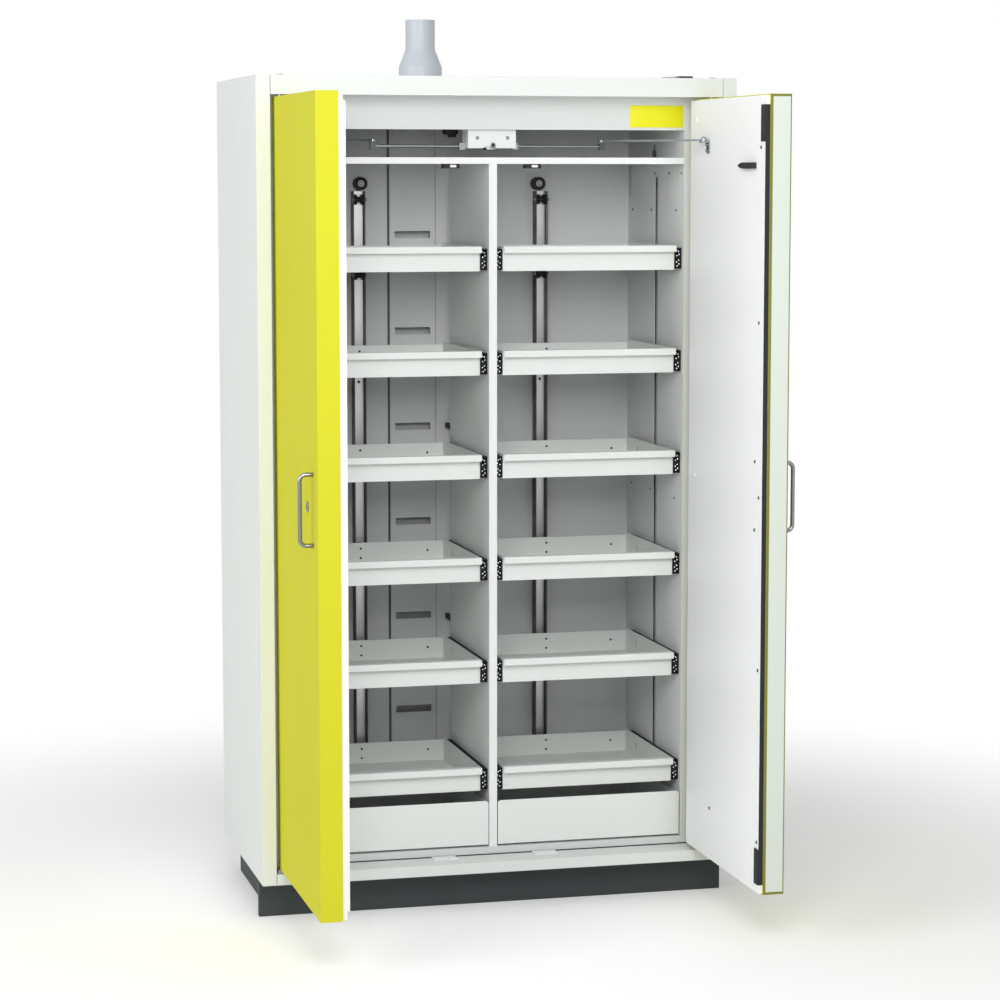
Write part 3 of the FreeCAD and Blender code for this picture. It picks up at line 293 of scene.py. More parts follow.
@dataclass(frozen=True)
class PolishedMetal(Finish):
    """Steel or brass polished bright: mirror-like, with the faintest polishing haze."""

    shade: str = "#8A8C8E"
    spread: tuple[float, float] = (0.0, 0.1)
    haze_mm: float = 18.0

    def pattern(self, surface: Surface) -> None:
        """Cloud the gloss where the polishing wheel passed.

        Args:
            surface: the material being made.
        """
        haze = {"Vector": surface.place, "Scale": cells_per_metre(self.haze_mm)}
        self.vary(surface, add_node(surface.tree, "ShaderNodeTexNoise", haze).outputs[0])


@dataclass(frozen=True)
class MouldedPlastic(Finish):
    """Injection-moulded plastic: a dense, slightly mottled body under an eroded mould texture."""

    shade: str = "#3A3B3C"
    spread: tuple[float, float] = (-0.05, 0.08)
    flow_mm: float = 60.0
    texture_mm: float = 1.5
    texture_depth_mm: float = 0.03

    def pattern(self, surface: Surface) -> None:
        """Lay the mould's texture and a slow change of gloss.

        Args:
            surface: the material being made.
        """
        # Spark-eroded texture is some tenths of a millimetre; it is drawn a few times coarser.
        flow = {"Vector": surface.place, "Scale": cells_per_metre(self.flow_mm), "Detail": 2.0}
        self.vary(surface, add_node(surface.tree, "ShaderNodeTexNoise", flow).outputs[0])
        texture = {"Vector": surface.place, "Scale": cells_per_metre(self.texture_mm)}
        height = add_node(surface.tree, "ShaderNodeTexNoise", texture).outputs[0]
        self.relief(surface, height, self.texture_depth_mm)


@dataclass(frozen=True)
class SealRubber(Finish):
    """Extruded intumescent seal in a rubber skin: matt, with faint lengthwise drag lines."""

    shade: str = "#2E3033"
    spread: tuple[float, float] = (-0.1, 0.05)
    line_mm: float = 1.0
    line_depth_mm: float = 0.04
    length_ratio: float = 0.02

    def pattern(self, surface: Surface) -> None:
        """Draw the die's drag lines along the strip.

        Args:
            surface: the material being made.
        """
        # Die lines are about half a millimetre apart, and drawn twice as wide.
        along = {"Vector": surface.place, "Scale": (1.0, 1.0, self.length_ratio)}
        stretched = add_node(surface.tree, "ShaderNodeMapping", along).outputs[0]
        lines = {"Vector": stretched, "Scale": cells_per_metre(self.line_mm), "Detail": 1.0}
        amount = add_node(surface.tree, "ShaderNodeTexNoise", lines).outputs[0]
        self.vary(surface, amount)
        self.relief(surface, amount, self.line_depth_mm)


@dataclass(frozen=True)
class MineralBoard(Finish):
    """Cut calcium-silicate board: dusty, off-white and pitted."""

    shade: str = "#8F8B82"
    spread: tuple[float, float] = (-0.05, 0.1)
    pit_mm: float = 3.5
    pit_depth_mm: float = 0.3

    def pattern(self, surface: Surface) -> None:
        """Show the sawn face's pits, 3 to 4 mm apart.

        Args:
            surface: the material being made.
        """
        pits = {"Vector": surface.place, "Scale": cells_per_metre(self.pit_mm)}
        amount = add_node(surface.tree, "ShaderNodeTexVoronoi", pits).outputs[0]
        self.vary(surface, amount)
        self.relief(surface, amount, self.pit_depth_mm)


# Polyester powder coat, light grey: smooth and semi-gloss, so folded edges catch a narrow highlight.
CASING_GREY = PowderCoat("powder_coat_light_grey", "#E9EDEA", 0.5, gloss=0.4, shade="#E3E7E4")
# The same coat, darker, on the sheet that frames the chamber's mouth: painted shade, standing for the
# header's shadow on the upper rail and the dimmer light at the doorway's foot.
FRAME_SHADED_GREY = PowderCoat("powder_coat_frame_grey", "#DDE0DE", 0.55, gloss=0.35, shade="#D7DAD8")
# Almost white, on the shelf and the partition, whose front edges are the brightest lines of the chamber.
SHELF_WHITE = PowderCoat("powder_coat_shelf_white", "#F4F6F4", 0.5, gloss=0.4, shade="#EEF0EE")
# The light grey inside the chamber, thinner and matt.
LINING_GREY = PowderCoat("powder_coat_lining_grey", "#E9EBEA", 0.55, gloss=0.35, shade="#E2E4E3")
# Signal yellow coat of the leaves, satin: its light comes from the pigment more than from the gloss.
LEAF_YELLOW = PowderCoat("powder_coat_traffic_yellow", "#D7D532", 0.6, gloss=0.12, shade="#CECC2C")
# The yellow sheet's cut and folded rim, painted as shade: the same coat darkened to olive, as the rim looks
# in shadow.
RIM_PAINTED_SHADE = PowderCoat("powder_coat_rim_olive", "#8D8B3C", 0.6, gloss=0.2, shade="#7C7A36")
# White coat of the leaves' inner sheets.
LEAF_WHITE = PowderCoat("powder_coat_signal_white", "#FBFCFC", 0.45, gloss=0.4, shade="#F7F8F8")
# Pale grey-green coat of the strip on the leaf's edge.
EDGE_PALE = PowderCoat("powder_coat_edge_pale", "#DFE7DD", 0.5, gloss=0.35, shade="#D8E0D6")
# Tray paint, satin.
TRAY_GREY = PowderCoat("powder_coat_tray_grey", "#EFF2EF", 0.5, gloss=0.4, shade="#E8EBE8")
# Anthracite plinth paint, matt.
PLINTH_ANTHRACITE = PowderCoat("powder_coat_anthracite", "#434849", 0.65, gloss=0.3, shade="#3D4243")
# Bare yellow face of the plate on the upper rail.
PLATE_YELLOW = PowderCoat("printed_plate_yellow", "#F0EC1C", 0.4, gloss=0.3, shade="#E8E418")
# Zinc-plated steel of hinges, links and brackets: mid grey metal with a soft, broken shine.
ZINC = RolledZinc("zinc_plated_steel", "#A6A9AC", 0.34, metallic=1.0)
# The same steel under a dark passivation, on small screws and the closer's carriages. On the rear channels
# the dark is painted shade: it stands for the shadow in the gaps beside the bars.
DARK_STEEL_AND_PAINTED_SHADE = RolledZinc("dark_passivated_steel", "#585B5E", 0.45, metallic=0.8, shade="#484B4D")
# Weight bars: brighter rolled steel, barely passivated.
BRIGHT_STEEL = RolledZinc("rolled_bright_steel", "#D5D3D4", 0.3, metallic=1.0, shade="#B5B2B3")
# Black-passivated steel of the slides.
SLIDE_BLACK = RolledZinc(
    "black_passivated_steel", "#1E2021", 0.5, metallic=0.5, gloss=0.3, shade="#2B2D2E"
)
# Polished stainless bar of the handles: it mirrors its surroundings at about half their light.
STAINLESS = PolishedMetal("polished_stainless_steel", "#96989A", 0.16, metallic=1.0)
# Burnished brass face of the lock, which has darkened with handling.
LOCK_BRASS = PolishedMetal("burnished_lock_brass", "#6B5D4C", 0.3, metallic=1.0, shade="#574B3E")
# Ground bearing balls: small bright mirrors.
BALL_STEEL = PolishedMetal("ground_bearing_steel", "#F0F1F2", 0.2, metallic=1.0, shade="#DADCDE")
# Glass-filled nylon of wheels, pulleys, catches and latch: black with a dull sheen.
NYLON_BLACK = MouldedPlastic("moulded_nylon_black", "#1C1E20", 0.55, gloss=0.3, shade="#282A2B")
# White moulded nylon of strikers and astragal.
NYLON_WHITE = MouldedPlastic("moulded_nylon_white", "#F6F7F6", 0.45, gloss=0.4, shade="#EFF1F0")
# Polypropylene of the exhaust spigot, blue-grey, with a coarser texture.
SPIGOT_GREY = MouldedPlastic(
    "moulded_polypropylene_grey", "#C4CAD1", 0.4, gloss=0.5, shade="#BAC0C8", texture_mm=2.5
)
# Rubber-skinned intumescent seal of the leaf and the ledge.
SEAL_BLACK = SealRubber("extruded_seal_black", "#1F2124", 0.65, gloss=0.25)
# Grey strip in the duct's seam: painted shade, standing for the shadow in the gap between the lining and
# the duct cover.
SEAM_SHADE_GREY = SealRubber("extruded_seal_grey", "#6E7170", 0.7, gloss=0.25, shade="#626564")
# Calcium-silicate boards inside walls and leaves.
BOARD = MineralBoard("calcium_silicate_board", "#B5B0A5", 0.9, gloss=0.2)


@dataclass(frozen=True)
class Block:
    """A small block with rounded edges: its corners and edge radius in millimetres, and its finish."""

    name: str
    low: Corner
    high: Corner
    finish: Finish
    edge: float

    def on_side(self, side: Side) -> Block:
        """Give the block, drawn for the right half, in either half, with that half in its name.

        Args:
            side: the half of the cabinet.

        Returns:
            The block of that half.
        """
        near, far = sorted((side.value * self.low[0], side.value * self.high[0]))
        low, high = (near, *self.low[1:]), (far, *self.high[1:])
        return replace(self, name=f"{side.word}_{self.name}", low=low, high=high)


@dataclass(frozen=True)
class Turning:
    """A small round fitting: the radius and height of each ring, from the seat upwards in millimetres."""

    name: str
    rings: Points
    finish: Finish
    segments: int = 24


@dataclass(frozen=True)
class Group:
    """Solids of one finish in a frame piece, told by their least size and distance from the origin."""

    kind: str
    finish: Finish
    size: Corner = (0.0, 0.0, 0.0)
    place: Corner = (0.0, 0.0, 0.0)

    def takes(self, middle: Vector, size: Vector) -> bool:
        """Tell whether a solid reaches both limits."""
        measures = (*size, *(abs(number) for number in middle))
        return all(measure >= limit for measure, limit in zip(measures, self.size + self.place))


def clear_selection() -> None:
    """Leave object mode with nothing selected."""
    if bpy.context.object and bpy.context.object.mode != "OBJECT":
        bpy.ops.object.mode_set(mode="OBJECT")
    bpy.ops.object.select_all(action="DESELECT")


def select_only(piece: bpy.types.Object) -> None:
    """Select one object and make it active.

    Args:
        piece: the object.
    """
    clear_selection()
    piece.select_set(True)
    bpy.context.view_layer.objects.active = piece


def settle(piece: bpy.types.Object, name: str) -> bpy.types.Object:
    """Put an object's place into its mesh, and smooth what is round.

    Args:
        piece: the object to settle.
        name: its new name.

    Returns:
        The same object, at the origin.
    """
    select_only(piece)
    bpy.ops.object.transform_apply(location=True, rotation=True, scale=True)
    bpy.ops.object.shade_smooth_by_angle(angle=SMOOTH_ANGLE)
    piece.name = name
    piece.data.name = name
    return piece


def paint(piece: bpy.types.Object, finish: Finish) -> bpy.types.Object:
    """Give every face of a piece one finish.

    Args:
        piece: the piece to paint.
        finish: what it is made of.

    Returns:
        The same piece.
    """
    piece.data.materials.clear()
    piece.data.materials.append(finish.material())
    return piece


def join(pieces: list[bpy.types.Object], name: str) -> bpy.types.Object:
    """Join loose meshes into one named piece.

    Args:
        pieces: at least one mesh object.
        name: the joined piece's name.

    Returns:
        The joined object.
    """
    clear_selection()
    for piece in pieces:
        piece.select_set(True)
    bpy.context.view_layer.objects.active = pieces[0]
    if len(pieces) > 1:
        bpy.ops.object.join()
    return settle(bpy.context.view_layer.objects.active, name)


def rounded_block(block: Block) -> bpy.types.Object:
    """Model a block with rounded edges between its two corners.

    Args:
        block: the block's sizes and finish.

    Returns:
        The painted block.
    """
    clear_selection()
    middle = [(low + high) / 2 * MM for low, high in zip(block.low, block.high)]
    bpy.ops.mesh.primitive_cube_add(size=1.0, location=middle)
    piece = bpy.context.object
    bpy.ops.object.mode_set(mode="EDIT")
    bpy.ops.mesh.select_all(action="SELECT")
    bpy.ops.transform.resize(value=[(high - low) * MM for low, high in zip(block.low, block.high)])
    bpy.ops.mesh.bevel(offset=block.edge * MM, segments=EDGE_SEGMENTS, affect="EDGES")
    bpy.ops.object.mode_set(mode="OBJECT")
    return paint(settle(piece, block.name), block.finish)


def turned(turning: Turning) -> bpy.types.Object:
    """Model a round fitting standing on the origin, by extruding and scaling a disc.

    Args:
        turning: the fitting's rings.

    Returns:
        The fitting, with its axis along Z.
    """
    clear_selection()
    radius, height = turning.rings[0]
    bpy.ops.mesh.primitive_circle_add(
        vertices=turning.segments, radius=radius * MM, fill_type="NGON", location=(0, 0, height * MM)
    )
    piece = bpy.context.object
    bpy.ops.object.transform_apply(location=True)
    bpy.ops.object.mode_set(mode="EDIT")
    bpy.ops.mesh.select_all(action="SELECT")
    for ring, level in turning.rings[1:]:
        move = {"value": (0, 0, (level - height) * MM)}
        bpy.ops.mesh.extrude_region_move(TRANSFORM_OT_translate=move)
        factor = ring / radius
        bpy.ops.transform.resize(value=(factor, factor, 1), center_override=(0, 0, 0))
        radius, height = ring, level
    bpy.ops.mesh.select_all(action="SELECT")
    bpy.ops.mesh.normals_make_consistent(inside=False)
    bpy.ops.object.mode_set(mode="OBJECT")
    return settle(piece, turning.name)


def on_both_sides(place: Corner, facing: Facing) -> Seats:
    """Give a seat, drawn for the right half, in both halves of the cabinet."""
    return [(Vector((side.value * place[0], *place[1:])), facing) for side in Side]


@dataclass
class SubAssembly:
    """A part of the cabinet that is dressed by itself."""

    frame: dict
    title: str = "part"

    def finish_node(self, node: str, finish: Finish) -> None:
        """Give a frame piece one finish on all its faces.

        Args:
            node: the frame piece's name.
            finish: what it is made of.
        """
        for slot in self.frame["nodes"][node].material_slots:
            slot.material = finish.material()
        LOG.info("%s: %s is %s", self.title, node, finish.name)

    def body_of(self, node: str) -> str:
        """Name the body that carries a frame piece."""
        groups = self.frame["record"]["behaviour"]["bodies"]
        return next(body for body, members in groups.items() if node in members)

    def divide_node(self, node: str, *groups: Group) -> dict[str, bpy.types.Object]:
        """Replace a frame piece by copies of its solids, one piece for each group, with smooth round faces.

        Args:
            node: the frame piece's name.
            groups: the piece's groups; a solid goes to the first that takes it.

        Returns:
            Each group's piece by its name.
        """
        source = self.frame["nodes"][node]
        clear_selection()
        copy = bpy.data.objects.new(f"{node}_copy", source.data.copy())
        bpy.context.scene.collection.objects.link(copy)
        select_only(copy)
        # The frame's stored normals no longer fit once points are merged, so they go first.
        bpy.ops.mesh.customdata_custom_splitnormals_clear()
        bpy.ops.object.mode_set(mode="EDIT")
        bpy.ops.mesh.select_all(action="SELECT")
        bpy.ops.mesh.remove_doubles(threshold=MERGE_DISTANCE)
        bpy.ops.mesh.separate(type="LOOSE")
        bpy.ops.object.mode_set(mode="OBJECT")
        sorted_solids: dict[str, list[bpy.types.Object]] = {}
        finishes = {group.kind: group.finish for group in groups}
        for solid in list(bpy.context.selected_objects):
            corners = [vertex.co for vertex in solid.data.vertices]
            low = Vector([min(corner[axis] for corner in corners) for axis in range(3)]) / MM
            high = Vector([max(corner[axis] for corner in corners) for axis in range(3)]) / MM
            group = next(group for group in groups if group.takes((low + high) / 2, high - low))
            sorted_solids.setdefault(group.kind, []).append(solid)
        pieces = {}
        for kind, solids in sorted_solids.items():
            piece = paint(join(solids, f"{node}_{kind}"), finishes[kind])
            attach(piece, self.body_of(node))
            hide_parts(node)
            pieces[kind] = piece
            LOG.info("%s: %s from %s is %s", self.title, kind, node, finishes[kind].name)
        return pieces

    def add_blocks(self, *blocks: Block) -> None:
        """Add small rounded blocks to the cabinet's body.

        Args:
            blocks: their sizes and finishes.
        """
        for block in blocks:
            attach(rounded_block(block), "cabinet")
            LOG.info("%s: %s is %s", self.title, block.name, block.finish.name)

    def set_out(
        self, pattern: bpy.types.Object, seats: Seats, name: str, finish: Finish, body: str
    ) -> None:
        """Copy a fitting to its seats and join the copies into a piece of a body.

        Args:
            pattern: the fitting, standing on the origin along Z; it is used up.
            seats: for each copy its place in millimetres and the way that it faces.
            name: the joined piece's name.
            finish: what the fitting is made of.
            body: the body that carries it.
        """
        copies = []
        for place, facing in seats:
            twin = bpy.data.objects.new(name, pattern.data.copy())
            bpy.context.scene.collection.objects.link(twin)
            turn = Vector((0, 0, 1)).rotation_difference(Vector(facing.value)).to_matrix().to_4x4()
            twin.matrix_world = Matrix.Translation(place * MM) @ turn
            copies.append(twin)
        bpy.data.objects.remove(pattern)
        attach(paint(join(copies, name), finish), body)
        LOG.info("%s: %s is %s", self.title, name, finish.name)

    def fit(self, turning: Turning, seats: Seats, name: str, body: str = "cabinet") -> None:
        """Set a round fitting in its seats on a body.

        Args:
            turning: the fitting.
            seats: for each copy its place in millimetres and the way that it faces.
            name: the joined piece's name.
            body: the body that carries it.
        """
        self.set_out(turned(turning), seats, name, turning.finish, body)


@dataclass
class Casing(SubAssembly):
    """Outer sheets, plinth, exhaust spigot and the small things on the roof."""

    title: str = "casing"
    # Plinth boards are at least this long one way or the other.
    plinth_groups: tuple[Group, ...] = (
        Group("boards", PLINTH_ANTHRACITE, (60, 0, 0)),
        Group("boards", PLINTH_ANTHRACITE, (0, 60, 0)),
        Group("feet", ZINC),
    )
    roof_blocks: tuple[Block, ...] = (
        Block("roof_cover_plate", (450, -298, 2047.0), (486, -262, 2051.6), NYLON_BLACK, 1.2),
        Block("roof_cover_ramp", (416, -296, 2047.0), (450.5, -264, 2049.4), ZINC, 0.8),
    )
    pin_head: Turning = Turning("pin_head", ((7.5, 0.0), (7.5, 1.0), (5.0, 2.0), (1.5, 2.2)), ZINC)
    pin_place: Corner = (538.0, -292.0, 2047.0)

    def build(self) -> None:
        """Dress the casing."""
        for node in ("side_panels", "top_panel", "base_panel", "back_panel"):
            self.finish_node(node, CASING_GREY)
        self.finish_node("inner_frame", FRAME_SHADED_GREY)
        self.finish_node("wall_insulation", BOARD)
        self.divide_node("exhaust_spigot", Group("body", SPIGOT_GREY))
        self.divide_node("plinth", *self.plinth_groups)
        self.add_blocks(*self.roof_blocks)
        self.fit(self.pin_head, on_both_sides(self.pin_place, Facing.PLUS_Z), "roof_pin_heads")


@dataclass
class Chamber(SubAssembly):
    """Linings, shelf, partition, duct cover and the gear on the rear wall."""

    title: str = "chamber"
    lining: float = 489.0
    rail_groups: tuple[Group, ...] = (
        # The channels are painted dark as shade, so the gaps beside the bars read as dark lines.
        Group("channels", DARK_STEEL_AND_PAINTED_SHADE, (30, 0, 1000)),
        Group("bars", BRIGHT_STEEL, (0, 0, 1000)),
        Group("axles", ZINC, (30, 0, 0)),
        Group("rollers", NYLON_BLACK, (20, 0, 0)),
        Group("bolts", ZINC),
    )
    # Hinges stand beside the doorway, catches above it and strikers at its foot.
    hardware_groups: tuple[Group, ...] = (
        Group("hinges", ZINC, place=(500, 0, 0)),
        Group("catches", NYLON_BLACK, place=(0, 0, 200)),
        Group("strikers", NYLON_WHITE),
    )
    # Each lining screw's distance behind the casing's front, and its height.
    lining_screws: Points = (
        (519, 1722),
        (353.5, 1723),
        (145, 1724),
        (324, 1816),
        (205, 1816),
        (101, 1816),
        (515.5, 1001),
        (349, 1000),
        (143, 999),
    )
    lining_screw: Turning = Turning(
        "lining_screw", ((3.2, 0.0), (3.2, 0.6), (2.4, 1.2), (1.2, 1.2), (1.0, 0.7)), SLIDE_BLACK, 16
    )
    rail_middle: float = 243.0
    rail_outer: tuple[float, float] = (227.3, 258.7)
    rail_extra: float = 60.0
    rail_foot: float = 5.0
    bar_widening: float = 1.25
    bar_front: float = 241.0
    channel_narrowing: float = 0.87
    channel_front: float = 221.0
    bar_screw_level: float = 1278.5
    bar_screw: Turning = Turning(
        "bar_screw", ((4.0, 0.0), (4.0, 0.8), (3.0, 1.6), (1.6, 1.6), (1.4, 0.9)), DARK_STEEL_AND_PAINTED_SHADE, 16
    )
    axle_levels: tuple[float, float] = (1749.0, 1556.0)
    axle_depth: float = 227.0
    axle_end: Turning = Turning("axle_end", ((4.5, 0.0), (4.5, 2.2), (3.4, 4.2), (1.2, 4.4)), ZINC, 20)
    wheel_face: Corner = (237.0, 226.7, 1790.0)
    wheel_fittings: tuple[Turning, ...] = (
        Turning("ring", ((8.0, 0.0), (8.0, 1.2), (7.4, 1.8), (5.4, 1.8), (5.2, 0.6)), NYLON_WHITE, 32),
        Turning("recess", ((5.1, 0.0), (5.1, 0.9), (3.0, 1.0)), NYLON_BLACK),
        Turning("bolt", ((3.0, 0.0), (3.0, 1.8), (2.2, 2.4), (0.8, 2.5)), NYLON_WHITE, 20),
    )
    backings: tuple[Block, ...] = (
        Block("window_backing", (492.5, 96, 1750), (494.0, 253, 1838), LINING_GREY, 0.3),
        Block("slot_backing", (496.0, -20, 298), (497.5, 30, 1812), LINING_GREY, 0.3),
    )
    seals: tuple[Block, ...] = (
        # A grey strip fills the duct's seam as painted shade for the gap's shadow.
        Block("duct_seam_seal", (-162.8, 259.0, 143), (-156.8, 261.5, 1958), SEAM_SHADE_GREY, 0.5),
        Block("ledge_seal", (-561, -225.4, 121.0), (561, -223.1, 123.4), SEAL_BLACK, 0.5),
    )
    catch_rollers: tuple[Block, ...] = (
        Block("left_catch_roller", (-107.0, -219.4, 1829.6), (-90.5, -210.0, 1836.2), NYLON_WHITE, 2.2),
        Block("right_catch_roller", (98.5, -219.4, 1829.6), (115.0, -210.0, 1836.2), NYLON_WHITE, 2.2),
    )
    stop_pin: Turning = Turning(
        "stop_pin",
        ((4.8, 0.0), (4.8, 17.0), (4.0, 18.6), (1.6, 18.6), (1.6, 32.0), (0.8, 32.6)),
        NYLON_BLACK,
    )
    stop_pin_place: Corner = (431.0, -160.0, 1854.0)
    damper: tuple[Block, ...] = (
        Block("damper_body", (-94.0, -112, 1911), (-60.0, -78, 1960), NYLON_BLACK, 4.0),
        Block("damper_foot", (-84.0, -114, 1904), (-66.0, -90, 1914), NYLON_BLACK, 2.5),
    )
    plate_low: tuple[float, float] = (347.7, 1928)
    plate_high: tuple[float, float] = (484.4, 1982)
    plate_thickness: float = 0.8
    plate_edge: float = 0.35

    def build(self) -> None:
        """Dress the chamber."""
        self.finish_node("interior_lining", LINING_GREY)
        self.finish_node("duct_cover", LINING_GREY)
        self.finish_node("ceiling_shelf", SHELF_WHITE)
        self.finish_node("partition", SHELF_WHITE)
        self.finish_node("slide_rails", SLIDE_BLACK)
        rails = self.divide_node("rear_rails", *self.rail_groups)
        self.fit_rails(rails["bars"], self.bar_widening, self.bar_front)
        self.fit_rails(rails["channels"], self.channel_narrowing, self.channel_front)
        self.divide_node("frame_hardware", *self.hardware_groups)
        for name in ("left_pulley", "right_pulley", "left_wheel", "right_wheel"):
            self.divide_node(name, Group("roller", NYLON_BLACK))
        self.lining_fixings()
        bar_place = (self.rail_middle, self.bar_front, self.bar_screw_level)
        self.fit(self.bar_screw, on_both_sides(bar_place, Facing.MINUS_Y), "bar_screws")
        self.gear_fixings()
        for side in Side:
            self.add_blocks(*(backing.on_side(side) for backing in self.backings))
        self.add_blocks(*self.seals)
        self.shelf_fittings()
        self.yellow_plate()

    def fit_rails(self, piece: bpy.types.Object, width_factor: float, front: float) -> None:
        """Set the width and front of the rear bars or channels, and run them down past the last tray.

        Args:
            piece: the copied bars or channels.
            width_factor: their new width over the old.
            front: depth of their front faces in millimetres.
        """
        places = [vertex.co for vertex in piece.data.vertices]
        foot = min(place.z for place in places) + self.rail_foot * MM
        half_way = (min(place.y for place in places) + max(place.y for place in places)) / 2
        for place in places:
            middle = math.copysign(self.rail_middle * MM, place.x)
            place.x = middle + (place.x - middle) * width_factor
            if place.y < half_way:
                place.y = front * MM
            if place.z < foot:
                place.z -= self.rail_extra * MM

    def lining_fixings(self) -> None:
        """Set the small screws of both side linings."""
        seats = []
        for side, facing in ((Side.LEFT, Facing.PLUS_X), (Side.RIGHT, Facing.MINUS_X)):
            for behind, height in self.lining_screws:
                place = (side.value * self.lining, CASING_FRONT + behind, height)
                seats.append((Vector(place), facing))
        self.fit(self.lining_screw, seats, "lining_screws")

    def gear_fixings(self) -> None:
        """Set the axle ends beside both rails, and the ring and bolt on the face of each wheel."""
        inner, outer = self.rail_outer
        seats = []
        for side in Side:
            low, high = sorted((side.value * inner, side.value * outer))
            for level in self.axle_levels:
                seats.append((Vector((low, self.axle_depth, level)), Facing.MINUS_X))
                seats.append((Vector((high, self.axle_depth, level)), Facing.PLUS_X))
        self.fit(self.axle_end, seats, "axle_ends")
        for side, seat in zip(Side, on_both_sides(self.wheel_face, Facing.MINUS_Y)):
            wheel = f"{side.word}_wheel"
            for turning in self.wheel_fittings:
                self.fit(turning, [seat], f"{wheel}_{turning.name}", self.body_of(wheel))

    def shelf_fittings(self) -> None:
        """Fit the catches' rollers under the shelf, the stop pin on it and the dark damper above it."""
        self.add_blocks(*self.catch_rollers)
        self.fit(self.stop_pin, [(Vector(self.stop_pin_place), Facing.PLUS_Z)], "stop_pin")
        self.add_blocks(*self.damper)

    def yellow_plate(self) -> None:
        """Fix the bare yellow plate on the upper rail."""
        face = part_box("inner_frame")[0].y / MM
        low = (self.plate_low[0], face - self.plate_thickness, self.plate_low[1])
        high = (self.plate_high[0], face, self.plate_high[1])
        self.add_blocks(Block("yellow_plate", low, high, PLATE_YELLOW, self.plate_edge))


@dataclass
class TrayStack(SubAssembly):
    """Trays, sumps and the moving members of the slides."""

    title: str = "trays"
    per_column: int = 6
    pan: Group = Group("pan", TRAY_GREY, (100, 0, 0))
    runners: Group = Group("runners", SLIDE_BLACK)
    glides: Group = Group("glides", NYLON_BLACK)
    ball_radius: float = 2.7
    beam_width: float = 14.1
    # Each ball's distance from its beam's middle line and height over its middle.
    balls: Points = (
        (3.2, 19.5),
        (-1.8, 16.5),
        (-3.6, 9.0),
        (2.6, 5.5),
        (-2.2, -5.0),
        (3.4, -9.5),
        (-3.4, -14.5),
        (1.4, -19.5),
    )
    rear_face: float = 195.5
    rivet: Turning = Turning("rivet", ((2.8, 0.0), (2.8, 0.5), (1.4, 1.0)), SLIDE_BLACK, 16)
    middle_rivet_rises: tuple[float, float] = (15.25, 39.75)
    side_rivet: tuple[float, float] = (52.0, 30.5)

    def build(self) -> None:
        """Dress every tray, slide and sump."""
        for side in Side:
            for number in range(1, self.per_column + 1):
                tray, slide = f"{side.word}_tray_{number}", f"{side.word}_slide_{number}"
                self.divide_node(tray, self.pan, self.runners)
                self.tray_rivets(tray)
                self.finish_node(slide, SLIDE_BLACK)
                self.ball_rows(slide)
            self.divide_node(f"{side.word}_sump", self.pan, self.glides)

    def ball_rows(self, node: str) -> None:
        """Show the bearing balls just inside the front ends of a pair of beams.

        Args:
            node: the frame piece that holds both beams.
        """
        low, high = (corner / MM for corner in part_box(node))
        clear_selection()
        bpy.ops.mesh.primitive_uv_sphere_add(segments=10, ring_count=6, radius=self.ball_radius * MM)
        pattern = settle(bpy.context.object, "ball")
        seats = []
        middle = (low.z + high.z) / 2
        half = self.beam_width / 2
        for centre, hand in ((low.x + half, 1), (high.x - half, -1)):
            for across, rise in self.balls:
                place = Vector((centre + hand * across, low.y + self.ball_radius, middle + rise))
                seats.append((place, Facing.PLUS_Z))
        self.set_out(pattern, seats, f"{node}_balls", BALL_STEEL, self.body_of(node))

    def tray_rivets(self, node: str) -> None:
        """Set the dark rivets on the inner face of a tray's rear wall.

        Args:
            node: the tray's frame piece.
        """
        low, high = (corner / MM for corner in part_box(node))
        points = [((low.x + high.x) / 2, rise) for rise in self.middle_rivet_rises]
        points.append((high.x - self.side_rivet[0], self.side_rivet[1]))
        seats = [(Vector((x, self.rear_face, low.z + rise)), Facing.MINUS_Y) for x, rise in points]
        self.fit(self.rivet, seats, f"{node}_rivets", self.body_of(node))


